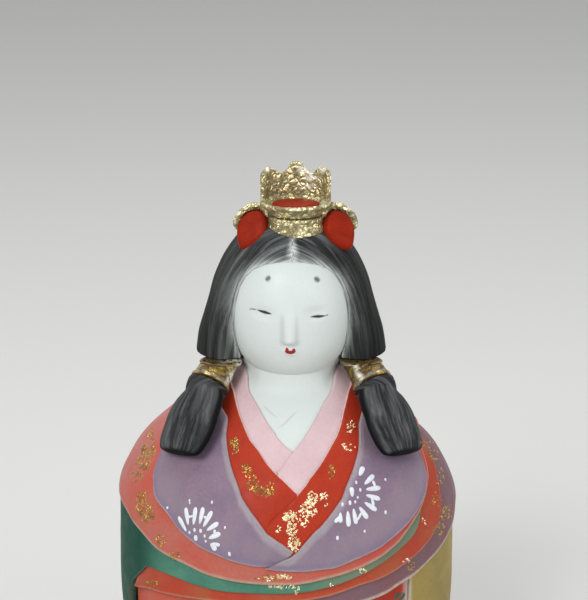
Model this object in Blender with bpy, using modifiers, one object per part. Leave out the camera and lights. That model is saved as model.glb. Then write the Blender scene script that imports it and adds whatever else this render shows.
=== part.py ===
# A small painted clay doll of a court lady, in a many-layered robe, with a gold crown.
# Metres, +Z up. The doll faces -Y, stands on Z = 0 and is centred on the Z axis.
import math

import bmesh
import bpy
from mathutils import Matrix, Vector

# Robe form: a drafting line inside the clay, turned about Z and made shallower front to back
FORM_HEIGHT = 0.0865
FORM_RADIUS = 0.0366
FORM_DEPTH_SHARE = 0.90
FORM_PLACE = Vector((0.0010, 0.0002, 0))    # puts the middle of the whole doll on the Z axis
FORM_HEIGHT_SHARES = (0.0, 0.4624, 0.6936, 0.7977, 0.9075, 1.0, 1.06, 1.12)
FORM_RADIUS_SHARES = (0.9016, 1.0, 0.9945, 0.9071, 0.6421, 0.3443, 0.215, 0.150)

# Layers of the robe, laid one over another
CORE_SKIN = 0.0024          # from the drafting line out to the bare clay core
SHEET = 0.0005              # thickness of one layer
CLEAR = 0.0003              # space between neighbouring pieces
TUCK = 0.0040               # how far a layer runs on under the one above it
COLLAR_TUCK = 0.0016
CHEST_TUCK = 0.0024
FOOT_CLEAR = 0.0006         # robe hems stop this far above the ground
STEP = SHEET + CLEAR
CORE_EASE = 0.0002          # extra room between the core and the layers, where both curve
COLUMN_ANGLE = 10           # degrees between the columns of a sheet

# Places of the layers, counted outward from the core
LAYER_COUNTS = {
    "skirt": 1, "ochre": 2, "mauve": 3, "red": 4, "green": 5, "salmon": 6, "jacket": 7,
    "chest": 4, "pink_collar": 5, "red_collar": 6,
}

# Core
CORE_WALL = 0.0042
CORE_ROOF = 0.012
CORE_BOTTOM_CHAMFER = 0.0012
CORE_TOP_DROP = 0.0009      # the core ends this far below the top of the form
CORE_ROW_SHARES = (0.45, 0.75, 0.9, 1)
HOLLOW_ROW_SHARES = (0.0, 0.2, 0.4, 0.6)
SOCKET_DEPTH = 0.011
BASE_DISC_THICKNESS = 0.0022
BASE_DISC_INSET = 0.0006
VENT_RADIUS = 0.0025

# Neck and chest
NECK_RADIUS = 0.0078
NECK_FLARE_HEIGHT = 0.0030
NECK_SET_BACK = 0.0020      # behind the middle of the head
TENON_DEPTH = 0.0095

# Head
HEAD_RISE = 0.0206          # middle of the head above the core's top
HEAD_FORWARD = 0.0045
HEAD_HALF_WIDTH = 0.0143
HEAD_FRONT_DEPTH = 0.0128
HEAD_BACK_DEPTH = 0.0130
HEAD_CHIN_DROP = 0.0152
HEAD_CROWN_RISE = 0.0180
HEAD_FULLNESS = 2.5         # how square the cheeks are
HEAD_CROWDING = 0.55        # how far the columns crowd towards the face
NOSE_LENGTH = 0.0068
NOSE_HEIGHT = 0.0016
NOSE_HALF_WIDTH = 0.0027
NOSE_TIP_DROP = 0.0040
NOSE_TIP_SHARE = 0.22       # how fast the nose ends below its tip
NOSE_TAPER_SHARE = 0.35
LIP_DROP = 0.0068
LIP_HEIGHT = 0.0005
LIP_HALF_WIDTH = 0.0029
LIP_HALF_HEIGHT = 0.0018
EYE_SOCKET_DEPTH = 0.0005
EYE_SPACING = 0.0062
EYE_RISE = 0.0024
EYE_SOCKET_RADIUS = 0.0036
EYE_SOCKET_HALF_HEIGHT = 0.0024

# Hair
HAIR_RISE = 0.0232          # top of the hair above the middle of the head
HAIR_DROP = 0.0116          # lower edge of the hair below the middle of the head
HAIR_HALF_WIDTH = 0.0234
HAIR_FRONT = 0.0140
HAIR_BACK = 0.0175
HAIR_FULLNESS = 2.5
HAIRLINE_RISE = 0.0142
HAIRLINE_HALF_WIDTH = 0.0137
TRESS_THICKNESS = 0.0030
TRESS_FOOT = 0.0100
TRESS_START_SHARE = 0.995
TRESS_NAPE_ANGLE = 76
LOCK_HALF_WIDTH = 0.0064
LOCK_HALF_THICKNESS = 0.0025
BAND_HALF_WIDTH = 0.0051
BAND_HALF_DEPTH = 0.0042
BAND_LENGTH = 0.0080

# Crown
CROWN_CENTRE = Vector((0.0011, -0.0060, 0))
CROWN_SINK = 0.0056         # the crown's foot reaches this far below the top of the hair
CROWN_HALF_WIDTH = 0.0072
CROWN_DEPTH_SHARE = 0.86
CROWN_BAND_RISE = 0.0009    # top of the crown's foot above the top of the hair
DISH_RADIUS = 0.0086
DISH_RISE = 0.0043          # lip of the dish above the top of the hair
DISH_WALL = 0.0010
DISH_DEPTH = 0.0008
CROWN_FLOOR_HALF_WIDTH = 0.0057
CROWN_FLOOR_HALF_DEPTH = 0.0051
CROWN_FLOOR_THICKNESS = 0.0006
CROWN_WALL_THICKNESS = 0.0011
CROWN_WALL_SWEEP = math.radians(160)
CROWN_WALL_HEIGHT = 0.0082
CROWN_NOTCH_DEPTH = 0.0027

# Ribbon lobes beside the crown
LOBE_WIDTH = 0.0063
LOBE_HEIGHT = 0.0092
LOBE_THICKNESS = 0.0046
LOBE_SPREAD = 0.0104        # middle of a lobe to the side of the crown's middle
LOBE_FORWARD = 0.0066
LOBE_DROP = 0.0026          # middle of a lobe below the top of the hair
LOBE_SPLAY = math.radians(24)
LOBE_LEAN = math.radians(28)
LOBE_BEVEL = 0.0009
RIM_RADIUS = 0.0007
RIM_HALF_DEPTH = 0.0019

CUT_OVERRUN = 0.002
WELD = 0.00001
SLIVER = 0.0001
ROUND_SEGMENTS = 32
FOOT_SEGMENTS = 24

# Hems of the robe: angle from the front in degrees, positive to the doll's left hand
# (the viewer's right), and height as a share of the form's height
JACKET_HEM_SHARES = (
    (-180, 0.931), (-130, 0.929), (-100, 0.922), (-80, 0.905), (-68, 0.875), (-60, 0.836),
    (-55, 0.788), (-52, 0.762), (-43, 0.738), (-36, 0.711), (-27, 0.689), (-17, 0.666),
    (-9, 0.655), (0, 0.646), (11, 0.652), (20, 0.680), (28, 0.703), (38, 0.725), (43, 0.739),
    (50, 0.764), (54, 0.793), (58, 0.830), (66, 0.875), (80, 0.908), (100, 0.922), (130, 0.929),
)
SALMON_HEM_SHARES = (
    (-180, 0.902), (-150, 0.884), (-125, 0.827), (-105, 0.769), (-90, 0.732), (-78, 0.712),
    (-67, 0.702), (-56, 0.677), (-47, 0.648), (-36, 0.632), (-24, 0.611), (-12, 0.605),
    (0, 0.606), (12, 0.622), (20, 0.637), (29, 0.662), (36, 0.694), (42, 0.722), (47, 0.747),
    (54, 0.786), (60, 0.828), (70, 0.885), (90, 0.908), (120, 0.912), (150, 0.906),
)
GREEN_HEM_SHARES = (
    (-180, 0.873), (-160, 0.850), (-135, 0.790), (-115, 0.728), (-100, 0.650), (-88, 0.543),
    (-80, 0.420), (-76, 0.360), (-73, 0.385), (-69, 0.475), (-58, 0.558), (-55, 0.578),
    (-45, 0.582), (-32, 0.574), (-24, 0.570), (-12, 0.574), (0, 0.578), (12, 0.592),
    (22, 0.615), (31, 0.644), (40, 0.682), (45, 0.706), (50, 0.752), (57, 0.810),
    (64, 0.855), (75, 0.890), (95, 0.902), (125, 0.894), (150, 0.882),
)
RED_HEM_SHARES = (
    (-180, 0.838), (-160, 0.825), (-132, 0.800), (-110, 0.730), (-68, 0.483), (-56, 0.506),
    (-45, 0.517), (-33, 0.528), (-15, 0.540), (0, 0.549), (12, 0.562), (23, 0.584), (30, 0.592),
    (43, 0.625), (53, 0.661), (60, 0.709), (66, 0.775), (72, 0.830), (85, 0.862), (110, 0.860),
    (145, 0.846),
)
MAUVE_HEM_SHARES = (
    (-180, 0.803), (-160, 0.795), (-138, 0.800), (-120, 0.745), (-100, 0.660), (-88, 0.560),
    (-76, 0.372), (-70, 0.440), (-64, 0.490), (-45, 0.520), (-20, 0.535), (-14, 0.525),
    (-8, 0.496), (0, 0.504), (12, 0.515), (33, 0.539), (38, 0.553), (46, 0.569), (54, 0.591),
    (62, 0.609), (70, 0.631), (76, 0.646), (85, 0.691), (100, 0.734), (125, 0.775), (150, 0.798),
)
CORAL_HEM_SHARES = ((-74, 0.350), (-60, 0.385), (-40, 0.410), (-10, 0.430), (8, 0.436))

# Neck openings: from the middle of the front round to the middle of the back
JACKET_NECK_SHARES = ((0, 0.693), (10, 0.745), (20, 0.816), (29, 0.879), (38, 0.934), (60, 0.958),
                      (100, 0.966), (180, 0.966))
RED_COLLAR_SHARES = ((0, 0.802), (10, 0.851), (22, 0.912), (32, 0.945), (42, 0.972), (54, 0.998),
                     (70, 1.016), (100, 1.022), (180, 1.016))
PINK_COLLAR_SHARES = ((0, 0.882), (9, 0.924), (22, 0.970), (32, 0.996), (42, 1.020), (54, 1.055),
                      (68, 1.078), (100, 1.084), (180, 1.078))
# The bend where the chest turns in to the neck, lower in front so that the chin clears it
CHEST_RIM_SHARES = ((0, 1.000), (32, 1.000), (50, 1.035), (70, 1.068), (100, 1.074), (180, 1.068))

# Front corners of the collars and the jacket where they cross. Each row has an upper and a lower
# corner as (angle, height share), the seams that both lie to the side, and the tucks that the
# lower one lies further down. The under ends come from the doll's right, the over ends cross them.
PINK_UNDER_SHARES = (((-2.0, 0.881), (-5.8, 0.857), 1.6, 0), ((-7.5, 0.910), (-10.5, 0.848), 0, 1))
PINK_OVER_SHARES = (((4.5, 0.906), (8.5, 0.838), 0, 1), ((-1.5, 0.876), (1.0, 0.803), 0, 1),
                    ((-5.6, 0.851), (-2.4, 0.803), 0, 1))
RED_UNDER_SHARES = (((0.6, 0.806), (-6.4, 0.762), 1.8, 0), ((-5.5, 0.826), (-9.5, 0.742), 0, 1))
RED_OVER_SHARES = (((5.5, 0.826), (6.5, 0.724), 0, 1), ((0.6, 0.801), (0.0, 0.693), 0, 1),
                   ((-6.4, 0.752), (-7.0, 0.727), 0, 1))
JACKET_UNDER_SHARES = (((-2.4, 0.699), (-7.1, 0.657), 2.0, 0), ((-7.5, 0.731), (-12.0, 0.660), 0, 0),
                       ((-11.2, 0.753), (-15.4, 0.664), 0, 0))
JACKET_OVER_SHARES = (((7.5, 0.731), (11.0, 0.652), 0, 0), ((2.5, 0.706), (4.0, 0.647), 0, 0),
                      ((-0.2, 0.694), (-1.5, 0.648), 0, 0), ((-2.4, 0.684), (-8.0, 0.655), 0, 0))

COLOURS = {
    "clay": ((0.72, 0.66, 0.58), 0.85, 0.0),
    "skin_white": ((0.74, 0.80, 0.78), 0.55, 0.0),
    "hair_grey": ((0.055, 0.062, 0.065), 0.60, 0.0),
    "gold": ((0.72, 0.52, 0.18), 0.28, 1.0),
    "scarlet": ((0.56, 0.045, 0.020), 0.55, 0.0),
    "pink": ((0.70, 0.54, 0.56), 0.60, 0.0),
    "lavender": ((0.32, 0.22, 0.33), 0.65, 0.0),
    "salmon": ((0.55, 0.12, 0.09), 0.65, 0.0),
    "green": ((0.05, 0.22, 0.16), 0.65, 0.0),
    "mauve": ((0.27, 0.16, 0.19), 0.65, 0.0),
    "ochre": ((0.34, 0.25, 0.07), 0.70, 0.0),
    "cream": ((0.62, 0.56, 0.45), 0.70, 0.0),
}


def smooth(x, table):
    """Height share at an angle, on a smooth line through the table's points without overshoot."""
    count = len(table)
    for index in range(count - 1):
        if x <= table[index + 1][0] or index == count - 2:
            break
    run = table[index + 1][0] - table[index][0]

    def chord(i):
        return (table[i + 1][1] - table[i][1]) / (table[i + 1][0] - table[i][0])

    def slope(i):
        if i == 0:
            return chord(0)
        if i == count - 1:
            return chord(count - 2)
        before, after = chord(i - 1), chord(i)
        return 0.0 if before * after <= 0 else 2 * before * after / (before + after)

    t = (x - table[index][0]) / run
    start, end = table[index][1], table[index + 1][1]
    return ((2 * t**3 - 3 * t**2 + 1) * start + (t**3 - 2 * t**2 + t) * run * slope(index)
            + (3 * t**2 - 2 * t**3) * end + (t**3 - t**2) * run * slope(index + 1))


def around(table):
    """A hem table that starts at -180 carried on to a second turn."""
    return table + tuple((angle + 360, share) for angle, share in table)


FORM_LINE = tuple(zip(FORM_HEIGHT_SHARES, FORM_RADIUS_SHARES))


def formRadius(height):
    return FORM_RADIUS * smooth(height / FORM_HEIGHT, FORM_LINE)


def formPoint(angle, height, outset):
    """A point at an outset square to the form's line."""
    probe = FORM_HEIGHT / 400
    low = max(height - probe, 0)
    slope = (formRadius(height + probe) - formRadius(low)) / (height + probe - low)
    if height < probe:
        slope = 0
    length = math.hypot(1, slope)
    radius = formRadius(height) + outset / length
    turn = math.radians(angle)
    return Vector((radius * math.sin(turn), -FORM_DEPTH_SHARE * radius * math.cos(turn),
                   height - outset * slope / length))


def layerTop(layer):
    """Outset of a layer's outer face."""
    return CORE_SKIN + LAYER_COUNTS[layer] * STEP


def under(layer):
    """Outset of the core where it carries a layer."""
    return layerTop(layer) - STEP - CORE_EASE


# Heights of the core, the head, the hair and the crown, each carried by the one before
CORE_TOP = FORM_HEIGHT - CORE_TOP_DROP
CORE_TOP_HEIGHT = formPoint(0, CORE_TOP, under("chest")).z
HEAD_CENTRE = Vector((0, -HEAD_FORWARD, CORE_TOP_HEIGHT + HEAD_RISE))
NECK_CENTRE = (0, NECK_SET_BACK - HEAD_FORWARD)
HAIR_TOP = HEAD_CENTRE.z + HAIR_RISE
HAIR_FOOT = HEAD_CENTRE.z - HAIR_DROP
HAIRLINE_TOP = HEAD_CENTRE.z + HAIRLINE_RISE
CROWN_FOOT = HAIR_TOP - CROWN_SINK
CROWN_BAND_TOP = HAIR_TOP + CROWN_BAND_RISE
DISH_LIP = HAIR_TOP + DISH_RISE
DISH_FLOOR = DISH_LIP - DISH_DEPTH
CROWN_TOP = DISH_LIP + CROWN_WALL_HEIGHT
CROWN_NOTCH = CROWN_TOP - CROWN_NOTCH_DEPTH


def material(name):
    found = bpy.data.materials.get(name)
    if found:
        return found
    colour, roughness, metallic = COLOURS[name]
    made = bpy.data.materials.new(name)
    made.use_nodes = True
    shader = made.node_tree.nodes["Principled BSDF"]
    shader.inputs["Base Color"].default_value = (*colour, 1)
    shader.inputs["Roughness"].default_value = roughness
    shader.inputs["Metallic"].default_value = metallic
    made.diffuse_color = (*colour, 1)
    return made


def addObject(name, mesh, finish, collection):
    made = bpy.data.objects.new(name, mesh)
    collection.objects.link(made)
    if finish:
        mesh.materials.append(material(finish))
        mesh.shade_smooth()
        mesh.set_sharp_from_angle(angle=math.radians(38))
    else:
        made.hide_render = True
        made.display_type = "WIRE"
    made.parent = doll
    return made


def meshFrom(bm, name):
    mesh = bpy.data.meshes.new(name)
    bm.to_mesh(mesh)
    bm.free()
    return mesh


def cut(target, tool, operation="DIFFERENCE"):
    boolean = target.modifiers.new(tool.name, "BOOLEAN")
    boolean.operation = operation
    boolean.solver = "EXACT"
    boolean.object = tool


def weld(target):
    """Merges the slivers that a cut leaves behind."""
    merge = target.modifiers.new("weld", "WELD")
    merge.merge_threshold = SLIVER


def facing(bm, outward):
    """Turns every face of an open sheet over if the middle one looks inward."""
    bm.normal_update()
    face = max(bm.faces, key=lambda f: f.calc_area())
    if face.normal.dot(outward(face.calc_center_median())) < 0:
        bmesh.ops.reverse_faces(bm, faces=bm.faces)


def gridSheet(columns, rows, place):
    """A sheet of columns by rows cells, whose corners are put in place by whole numbers."""
    bm = bmesh.new()
    bmesh.ops.create_grid(bm, x_segments=columns, y_segments=rows, size=0.5)
    for vert in bm.verts:
        vert.co = place(round((vert.co.x + 0.5) * columns), round((vert.co.y + 0.5) * rows))
    bmesh.ops.remove_doubles(bm, verts=bm.verts, dist=WELD)
    bmesh.ops.triangulate(bm, faces=bm.faces, quad_method="SHORT_EDGE")
    return bm


def fromAxis(point):
    return Vector((point.x, point.y, 0))


def robeSheet(name, upper, lower, layer, rows, finish):
    """A layer between two edges, each a list of (angle, height) pairs of one length.

    rows is a count of even rows, or the shares of the way down at which the rows lie.
    """
    outset = layerTop(layer)
    if isinstance(rows, int):
        shares = [row / rows for row in range(rows + 1)]
    else:
        shares = rows

    def place(column, row):
        share = shares[row]
        angle = upper[column][0] * (1 - share) + lower[column][0] * share
        height = upper[column][1] * (1 - share) + lower[column][1] * share
        return formPoint(angle, height, outset)

    bm = gridSheet(len(upper) - 1, len(shares) - 1, place)
    facing(bm, fromAxis)
    made = addObject(name, meshFrom(bm, name), finish, parts)
    shell = made.modifiers.new("thickness", "SOLIDIFY")
    shell.thickness = SHEET
    shell.offset = -1
    return made


def columnAngles(start, end, extra=(), fine=(44, 72)):
    """Column angles at a steady step, with both ends and any corners of the outline.

    Between the two fine angles, where edges run steeply, the step is halved.
    """
    half = COLUMN_ANGLE / 2
    first, last = math.ceil(start / half), math.floor(end / half)
    near = half * 0.7
    fixed = (start, end) + tuple(extra)
    steady = [k * half for k in range(first, last + 1)
              if k % 2 == 0 or fine[0] < wrap(k * half) < fine[1]]
    kept = [angle for angle in steady if all(abs(angle - f) > near for f in fixed)]
    return sorted(kept + list(fixed))


def hemHeight(table):
    full = around(table)
    return lambda angle: FORM_HEIGHT * smooth(angle, full)


jacketHem = hemHeight(JACKET_HEM_SHARES)
salmonHem = hemHeight(SALMON_HEM_SHARES)
greenHem = hemHeight(GREEN_HEM_SHARES)
redHem = hemHeight(RED_HEM_SHARES)
mauveHem = hemHeight(MAUVE_HEM_SHARES)


def coralHem(angle):
    return FORM_HEIGHT * smooth(angle, CORAL_HEM_SHARES)


def collarFoot(table, angle, tuck):
    """Height of the lower edge of what shows inside a neck opening."""
    return FORM_HEIGHT * smooth(abs(angle), table) - tuck


# Robes from the outermost one down, each with the hem that covers its upper edge
COVERED = (("salmon", jacketHem), ("green", salmonHem), ("red", greenHem), ("mauve", redHem),
           ("ochre", mauveHem))


def shelf(layer, angle):
    """Height at which a layer's tucked edge ends and the core steps out to the next layer."""
    height = collarFoot(JACKET_NECK_SHARES, angle, COLLAR_TUCK) - CLEAR
    for name, covering in COVERED:
        height = min(covering(angle) + TUCK, height - STEP)
        if name == layer:
            break
    return height


def wrap(angle):
    return (angle + 180) % 360 - 180


SKIRT_ROW_SHARES = (0, 0.07, 0.14, 0.22, 0.35, 0.62, 1)


def makeRobes():
    """The layers from the ochre robe up to the salmon one, each tucked under the next."""

    def band(name, layer, hem, angles, rows, finish, leans=()):
        upper = [(a, shelf(layer, wrap(a)) - CLEAR) for a in angles]
        lower = []
        for a in angles:
            leant = a
            for limit, reach, target in leans:
                if (reach < limit and a < limit) or (reach > limit and a > limit):
                    leant = limit + (a - limit) * (target - limit) / (reach - limit)
            lower.append((leant, hem(leant)))
        return robeSheet(name, upper, lower, layer, rows, finish)

    full = columnAngles(-180, 180, (-76, -69, -58))
    band("salmon_robe", "salmon", salmonHem, columnAngles(-180, 180), 4, "salmon")
    band("green_robe", "green", greenHem, full, 3, "green")
    red_start, red_end = -56, 226
    band("red_robe", "red", redHem, columnAngles(red_start, red_end), 3, "salmon",
         leans=((-40, red_start, -67),))
    band("mauve_robe", "mauve", mauveHem, columnAngles(-10, 222), 4, "mauve")
    coral_start, coral_end = -70, 4
    band("coral_robe", "ochre", coralHem, columnAngles(coral_start, coral_end), 3, "salmon")

    ochre_start, ochre_end = 45, 287
    angles = columnAngles(ochre_start, ochre_end, (284,))
    upper = [(a, shelf("ochre", wrap(a)) - CLEAR) for a in angles]
    lower = [(a, FOOT_CLEAR) for a in angles]
    robeSheet("ochre_robe", upper, lower, "ochre", SKIRT_ROW_SHARES, "ochre")

    skirt_start, skirt_end = -82, 54
    angles = columnAngles(skirt_start, skirt_end, (-76,))
    upper = [(a, shelf("ochre", wrap(a)) - TUCK) for a in angles]
    lower = [(a, FOOT_CLEAR) for a in angles]
    robeSheet("front_skirt", upper, lower, "skirt", 5, "scarlet")


def ribbon(name, inner, outer, start, end, layer, rows, finish):
    """A garment edge round the neck, from its under end to its over end at the front.

    start and end are lists of ((angle, height), (angle, height)) pairs of upper and lower
    corners; between them the ribbon follows its two tables through the back.
    """
    first, last = start[-1], end[0]
    high_angles = columnAngles(last[0][0] - 360, first[0][0], fine=(-64, 64))
    low_angles = [last[1][0] - 360 + (angle - high_angles[0]) * (first[1][0] - last[1][0] + 360)
                  / (high_angles[-1] - high_angles[0]) for angle in high_angles]
    high = [(angle, inner(wrap(angle))) for angle in high_angles]
    low = [(angle, outer(wrap(angle))) for angle in low_angles]
    high[0], low[0] = last
    high[-1], low[-1] = first
    high[0], low[0] = (high[0][0] - 360, high[0][1]), (low[0][0] - 360, low[0][1])
    before = [((u[0] - 360, u[1]), (d[0] - 360, d[1])) for u, d in reversed(end[1:])]
    after = list(reversed(start[:-1]))
    pairs = before + list(zip(high, low)) + after
    return robeSheet(name, [u for u, _ in pairs], [d for _, d in pairs], layer, rows, finish)


def makeCollars():
    """Two crossed collars and the jacket, each with its left front laid over its right."""

    def edge(table, tuck=0):
        return lambda angle: collarFoot(table, angle, tuck)

    ribbon("pink_collar", edge(PINK_COLLAR_SHARES), edge(RED_COLLAR_SHARES, COLLAR_TUCK),
           corners(PINK_UNDER_SHARES), corners(PINK_OVER_SHARES), "pink_collar", 2, "pink")
    ribbon("red_collar", edge(RED_COLLAR_SHARES), edge(JACKET_NECK_SHARES, COLLAR_TUCK),
           corners(RED_UNDER_SHARES), corners(RED_OVER_SHARES), "red_collar", 3, "scarlet")
    ribbon("lavender_jacket", edge(JACKET_NECK_SHARES), jacketHem,
           corners(JACKET_UNDER_SHARES), corners(JACKET_OVER_SHARES), "jacket", 5, "lavender")


def corners(table):
    """Corner pairs of a crossing as (angle, height), from a table of shares."""
    seam = math.degrees(STEP / FORM_RADIUS)
    return [((upper[0] - seams * seam, upper[1] * FORM_HEIGHT),
             (lower[0] - seams * seam, lower[1] * FORM_HEIGHT - tucks * COLLAR_TUCK))
            for upper, lower, seams, tucks in table]


def makeCore():
    """The hollow clay body, with a shelf for the upper edge of each layer."""
    angles = [k * COLUMN_ANGLE for k in range(-18, 19)]

    def coreLine(angle):
        line = [(0, CORE_SKIN - CORE_BOTTOM_CHAMFER), (CORE_BOTTOM_CHAMFER, CORE_SKIN)]
        first = shelf("ochre", angle) - TUCK
        line += [(first * share, CORE_SKIN) for share in CORE_ROW_SHARES]
        line += [(shelf(layer, angle), under(layer)) for layer, _ in reversed(COVERED)]
        pink = max(collarFoot(RED_COLLAR_SHARES, angle, 2 * COLLAR_TUCK), line[-1][0] + 2 * STEP)
        pink = min(pink, CORE_TOP - 3 * STEP)
        chest = max(collarFoot(PINK_COLLAR_SHARES, angle, COLLAR_TUCK + CHEST_TUCK), pink + 2 * STEP)
        chest = min(chest, CORE_TOP - STEP)
        line += [(pink - STEP, under("red_collar")), (pink - CLEAR, under("pink_collar")),
                 (chest - STEP, under("pink_collar")), (chest - CLEAR, under("chest")),
                 (CORE_TOP, under("chest"))]
        return line

    lines = [coreLine(wrap(angle)) for angle in angles]

    def place(column, row):
        height, outset = lines[column][row]
        point = formPoint(angles[column], height, outset)
        if row == 0:
            point.z = 0
        return point

    bm = gridSheet(len(angles) - 1, len(lines[0]) - 1, place)
    bmesh.ops.holes_fill(bm, edges=bm.edges, sides=0)
    bmesh.ops.recalc_face_normals(bm, faces=bm.faces)
    core = addObject("body_core", meshFrom(bm, "body_core"), "clay", parts)
    cut(core, turned("core_hollow", hollowLine(), FORM_DEPTH_SHARE, segments=FOOT_SEGMENTS))
    cut(core, cylinder("neck_socket", NECK_RADIUS + CLEAR, CORE_TOP_HEIGHT - SOCKET_DEPTH,
                       CORE_TOP_HEIGHT + CUT_OVERRUN, NECK_CENTRE))


def hollowLine():
    """Outline of the space in the core, from its rim at the base up to its round top."""
    inner = [(formRadius(share * FORM_HEIGHT) + CORE_SKIN - CORE_WALL, share * FORM_HEIGHT)
             for share in HOLLOW_ROW_SHARES]
    roof = FORM_HEIGHT - CORE_ROOF - SOCKET_DEPTH
    shoulder = inner[-1]
    line = [(shoulder[0] * math.cos(t), shoulder[1] + (roof - shoulder[1]) * math.sin(t))
            for t in (math.pi / 2, math.pi / 3, math.pi / 6)]
    line[0] = (0, roof)
    line += list(reversed(inner))
    line.append((inner[0][0], -CUT_OVERRUN))
    return line + [(0, -CUT_OVERRUN)]


def turned(name, line, depth_share, finish=None, centre=None, segments=ROUND_SEGMENTS):
    """A profile of (radius, height) points, from the top down its outer side, turned about Z."""
    bm = bmesh.new()
    verts = [bm.verts.new((radius, 0, height)) for radius, height in line]
    for one, two in zip(verts, verts[1:]):
        bm.edges.new((one, two))
    home = parts if finish else cutters
    made = addObject(name, meshFrom(bm, name), finish, home)
    screw = made.modifiers.new("turn", "SCREW")
    screw.steps = segments
    screw.render_steps = segments
    screw.use_merge_vertices = True
    screw.merge_threshold = WELD
    made.scale = (1, depth_share, 1)
    if centre:
        made.location = centre
    return made


def cylinder(name, radius, low, high, centre, segments=ROUND_SEGMENTS):
    bm = bmesh.new()
    bmesh.ops.create_cone(bm, cap_ends=True, segments=segments, radius1=radius, radius2=radius,
                          depth=high - low)
    bmesh.ops.translate(bm, verts=bm.verts, vec=(*centre, (low + high) / 2))
    return addObject(name, meshFrom(bm, name), None, cutters)


def makeBase():
    radius = formRadius(0) + CORE_SKIN - CORE_WALL - CLEAR
    low, high = BASE_DISC_INSET, BASE_DISC_INSET + BASE_DISC_THICKNESS
    edge = BASE_DISC_INSET
    line = [(0, high), (radius - edge, high), (radius, high - edge), (radius, low), (0, low)]
    disc = turned("base_disc", line, FORM_DEPTH_SHARE, "cream", segments=FOOT_SEGMENTS)
    cut(disc, cylinder("base_vent", VENT_RADIUS, low - CUT_OVERRUN, high + CUT_OVERRUN, (0, 0)))


def makeChest():
    """The white chest in the neck opening, rising in a flare to the neck."""
    angles = [angle for angle in columnAngles(-180, 180) if abs(angle) < 50 or angle % 20 == 0]
    flare_rows, chest_rows = 2, 3
    rows = flare_rows + chest_rows
    neck_height = formPoint(0, collarFoot(CHEST_RIM_SHARES, 0, 0), layerTop("chest")).z + NECK_FLARE_HEIGHT

    def place(column, row):
        angle = angles[column]
        high = collarFoot(CHEST_RIM_SHARES, angle, 0)
        if row >= flare_rows:
            share = (row - flare_rows) / chest_rows
            low = min(collarFoot(PINK_COLLAR_SHARES, angle, CHEST_TUCK), CORE_TOP)
            return formPoint(angle, high + (low - high) * share, layerTop("chest"))
        rim = formPoint(angle, high, layerTop("chest"))
        turn = math.radians(angle)
        radius = NECK_RADIUS + STEP + CLEAR
        neck = Vector((radius * math.sin(turn), NECK_CENTRE[1] - radius * math.cos(turn), neck_height))
        t = row / flare_rows * math.pi / 2
        point = neck.lerp(rim, 1 - math.cos(t))
        point.z = neck.z + (rim.z - neck.z) * math.sin(t)
        return point

    bm = gridSheet(len(angles) - 1, rows, place)
    facing(bm, lambda point: Vector((point.x, point.y, abs(point.y) + abs(point.x))))
    chest = addObject("neck_and_chest", meshFrom(bm, "neck_and_chest"), "skin_white", parts)
    shell = chest.modifiers.new("thickness", "SOLIDIFY")
    shell.thickness = SHEET
    shell.offset = -1


def bump(distance, reach):
    """A soft round swelling that falls from one at its middle to nothing at its reach."""
    t = min(abs(distance) / reach, 1)
    return (1 - t * t) ** 2


def headMesh(name, grow, columns, rows, features):
    """The egg of the head, wide in the cheeks, with its nose and lips where asked for."""
    bm = bmesh.new()
    bmesh.ops.create_uvsphere(bm, u_segments=columns, v_segments=rows, radius=1)
    crowding = HEAD_CROWDING if features else 0
    for vert in bm.verts:
        x, y, z = vert.co
        turn = math.atan2(x, -y)
        turn -= crowding * math.sin(turn)
        level = math.hypot(x, y)
        x, y = level * math.sin(turn), -level * math.cos(turn)
        full = 2 / HEAD_FULLNESS
        if z < 0:
            waist = (1 - abs(z) ** HEAD_FULLNESS) ** (1 / HEAD_FULLNESS) if abs(z) < 1 else 0
            widen = waist / level if level > WELD else full
        else:
            widen = 1
        width = HEAD_HALF_WIDTH + grow
        depth = (HEAD_FRONT_DEPTH if y < 0 else HEAD_BACK_DEPTH) + grow
        tall = (HEAD_CHIN_DROP if z < 0 else HEAD_CROWN_RISE) + grow
        point = Vector((x * width * widen, y * depth * widen, z * tall))
        if features and y < 0:
            point.y -= faceRelief(point.x, point.z)
        vert.co = HEAD_CENTRE + point
    bmesh.ops.recalc_face_normals(bm, faces=bm.faces)
    return meshFrom(bm, name)


def faceRelief(x, z):
    """How far the face stands forward of the plain egg, by place from the head's centre."""
    up_nose = min(max((z + NOSE_TIP_DROP) / NOSE_LENGTH, -1), 1)
    ridge = 1 - up_nose if up_nose > 0 else bump(up_nose, NOSE_TIP_SHARE)
    half = NOSE_HALF_WIDTH * (1 - NOSE_TAPER_SHARE * max(up_nose, 0))
    relief = NOSE_HEIGHT * ridge * bump(x, half)
    relief += LIP_HEIGHT * bump(x, LIP_HALF_WIDTH) * bump(z + LIP_DROP, LIP_HALF_HEIGHT)
    across = (abs(x) - EYE_SPACING) / EYE_SOCKET_RADIUS
    up_eye = (z - EYE_RISE) / EYE_SOCKET_HALF_HEIGHT
    return relief - EYE_SOCKET_DEPTH * bump(math.hypot(across, up_eye), 1)


def makeHead():
    """The head with its neck and the tenon that drops into the core."""
    head = addObject("head", headMesh("head", 0, 38, 24, True), "skin_white", parts)
    neck = cylinder("neck", NECK_RADIUS, CORE_TOP_HEIGHT - TENON_DEPTH,
                    HEAD_CENTRE.z - HEAD_CHIN_DROP / 2, NECK_CENTRE)
    cut(head, neck, "UNION")


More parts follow.
